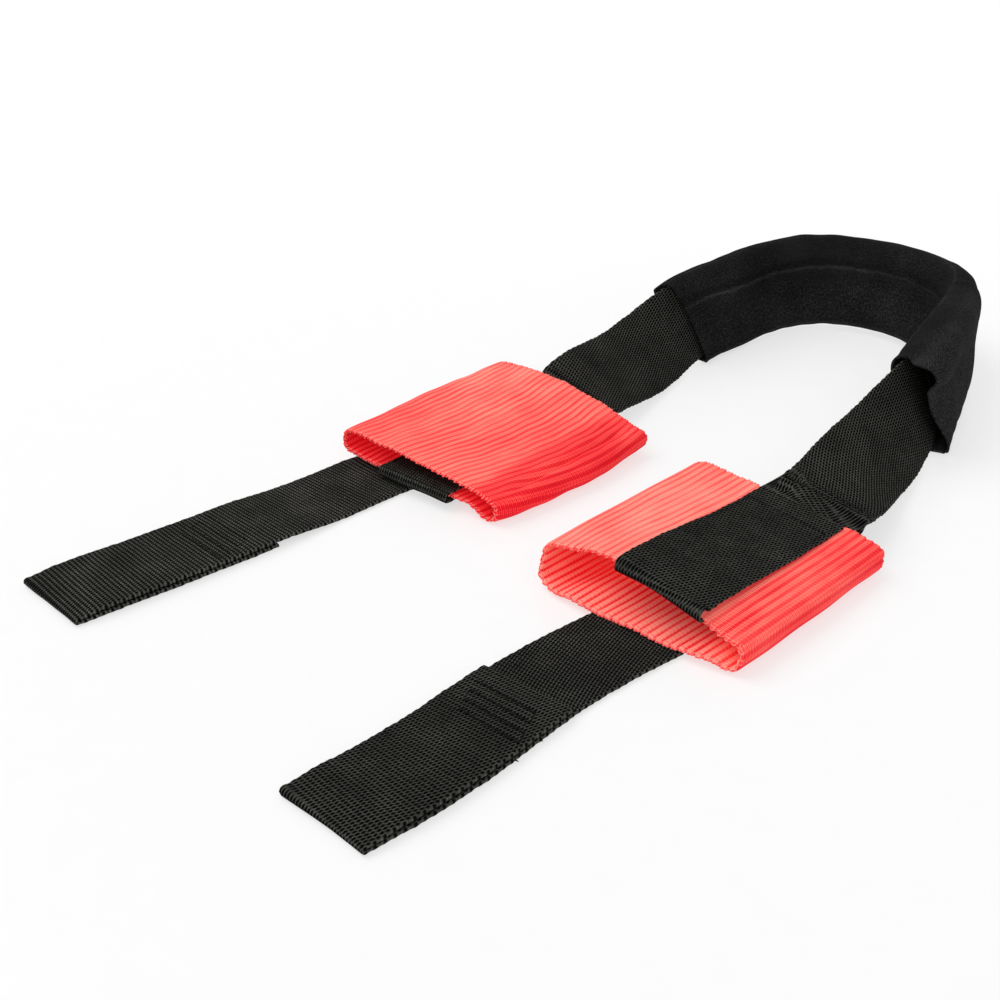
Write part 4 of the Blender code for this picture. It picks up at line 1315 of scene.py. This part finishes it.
def floor_look():
    """Smooth white paper on a light table: a faint tooth, a trace of gloss and a little light of its own."""
    n = Nodes("studio_floor")
    place = n.place()
    tooth = n.noise(place, 60.0, 3.0)
    n.surface("Base Color", n.ramp(tooth, ((0.0, (0.28, 0.28, 0.28)), (1.0, (0.30, 0.30, 0.30)))))
    n.surface("Roughness", n.scaled(tooth, 0.1, 0.3))
    n.surface("Specular IOR Level", 0.2)
    n.surface("Emission Color", (1.0, 1.0, 1.0, 1.0))
    n.surface("Emission Strength", FLOOR_GLOW)
    return n.material


def build_setting():
    """Camera, floor and soft light."""
    camera_data = bpy.data.cameras.new("camera")
    camera_data.lens = CAMERA_LENS
    camera_data.sensor_width = CAMERA_SENSOR
    camera = bpy.data.objects.new("camera", camera_data)
    flat = math.cos(CAMERA_DIP)
    look = Vector((-math.sin(CAMERA_HEADING) * flat, math.cos(CAMERA_HEADING) * flat, -math.sin(CAMERA_DIP)))
    camera.location = CAMERA_PLACE
    camera.rotation_mode = "QUATERNION"
    camera.rotation_quaternion = look.to_track_quat("-Z", "Y")
    bpy.context.scene.collection.objects.link(camera)
    bpy.context.scene.camera = camera

    mesh = bpy.data.meshes.new("floor")
    mesh.from_pydata([(x * FLOOR_REACH, y * FLOOR_REACH, 0) for x, y in ((-1, -1), (1, -1), (1, 1), (-1, 1))],
                     [], [(0, 1, 2, 3)])
    floor = bpy.data.objects.new("floor", mesh)
    mesh.materials.append(floor_look())
    bpy.context.scene.collection.objects.link(floor)
    floor.location.z = -0.0001

    world = bpy.data.worlds.new("studio")
    world.use_nodes = True
    sky = world.node_tree.nodes["Background"]
    sky.inputs["Color"].default_value = (1.0, 1.0, 1.0, 1.0)
    sky.inputs["Strength"].default_value = SKY_STRENGTH
    bpy.context.scene.world = world
    for name, toward, spread, power in SUNS:
        light = bpy.data.lights.new(name, "SUN")
        light.angle = math.radians(spread)
        light.energy = power
        lamp = bpy.data.objects.new(name, light)
        lamp.rotation_mode = "QUATERNION"
        lamp.rotation_quaternion = Vector(toward).to_track_quat("-Z", "Y")
        bpy.context.scene.collection.objects.link(lamp)
    bpy.context.scene.view_settings.view_transform = "Standard"


def main():
    """Build every visible piece around the fixed frame."""
    webbing_look = black_webbing_look()
    binding_look = black_webbing_look("black_binding", 0.35)
    # Two copies of one red with painted light: the right cuff's copy is lighter all over and inside.
    cuff_looks = {"left": red_webbing_look("red_webbing_left", 0.03, 0.14),
                  "right": red_webbing_look("red_webbing_right", 0.13, 0.58)}
    canvas = canvas_look()
    thread = thread_look("black_thread", (0.0015, 0.0015, 0.002), (0.010, 0.010, 0.010))
    edge_thread = thread_look("red_edge_thread", (0.80, 0.08, 0.07), (0.90, 0.50, 0.42))
    build_setting()
    tail_looks = {"left": black_webbing_look("black_webbing_ribbed", 0.0, 0.5), "right": webbing_look}
    arms = build_straps(webbing_look, tail_looks)
    for side in (LEFT, RIGHT):
        outer, inner = build_cuff(side, cuff_looks[side.name])
        build_edge_stitches(side, outer, inner, edge_thread)
        build_binding(side, binding_look, arms[side.name])
    build_sleeve(canvas, thread)
    build_threads(thread, arms)


main()
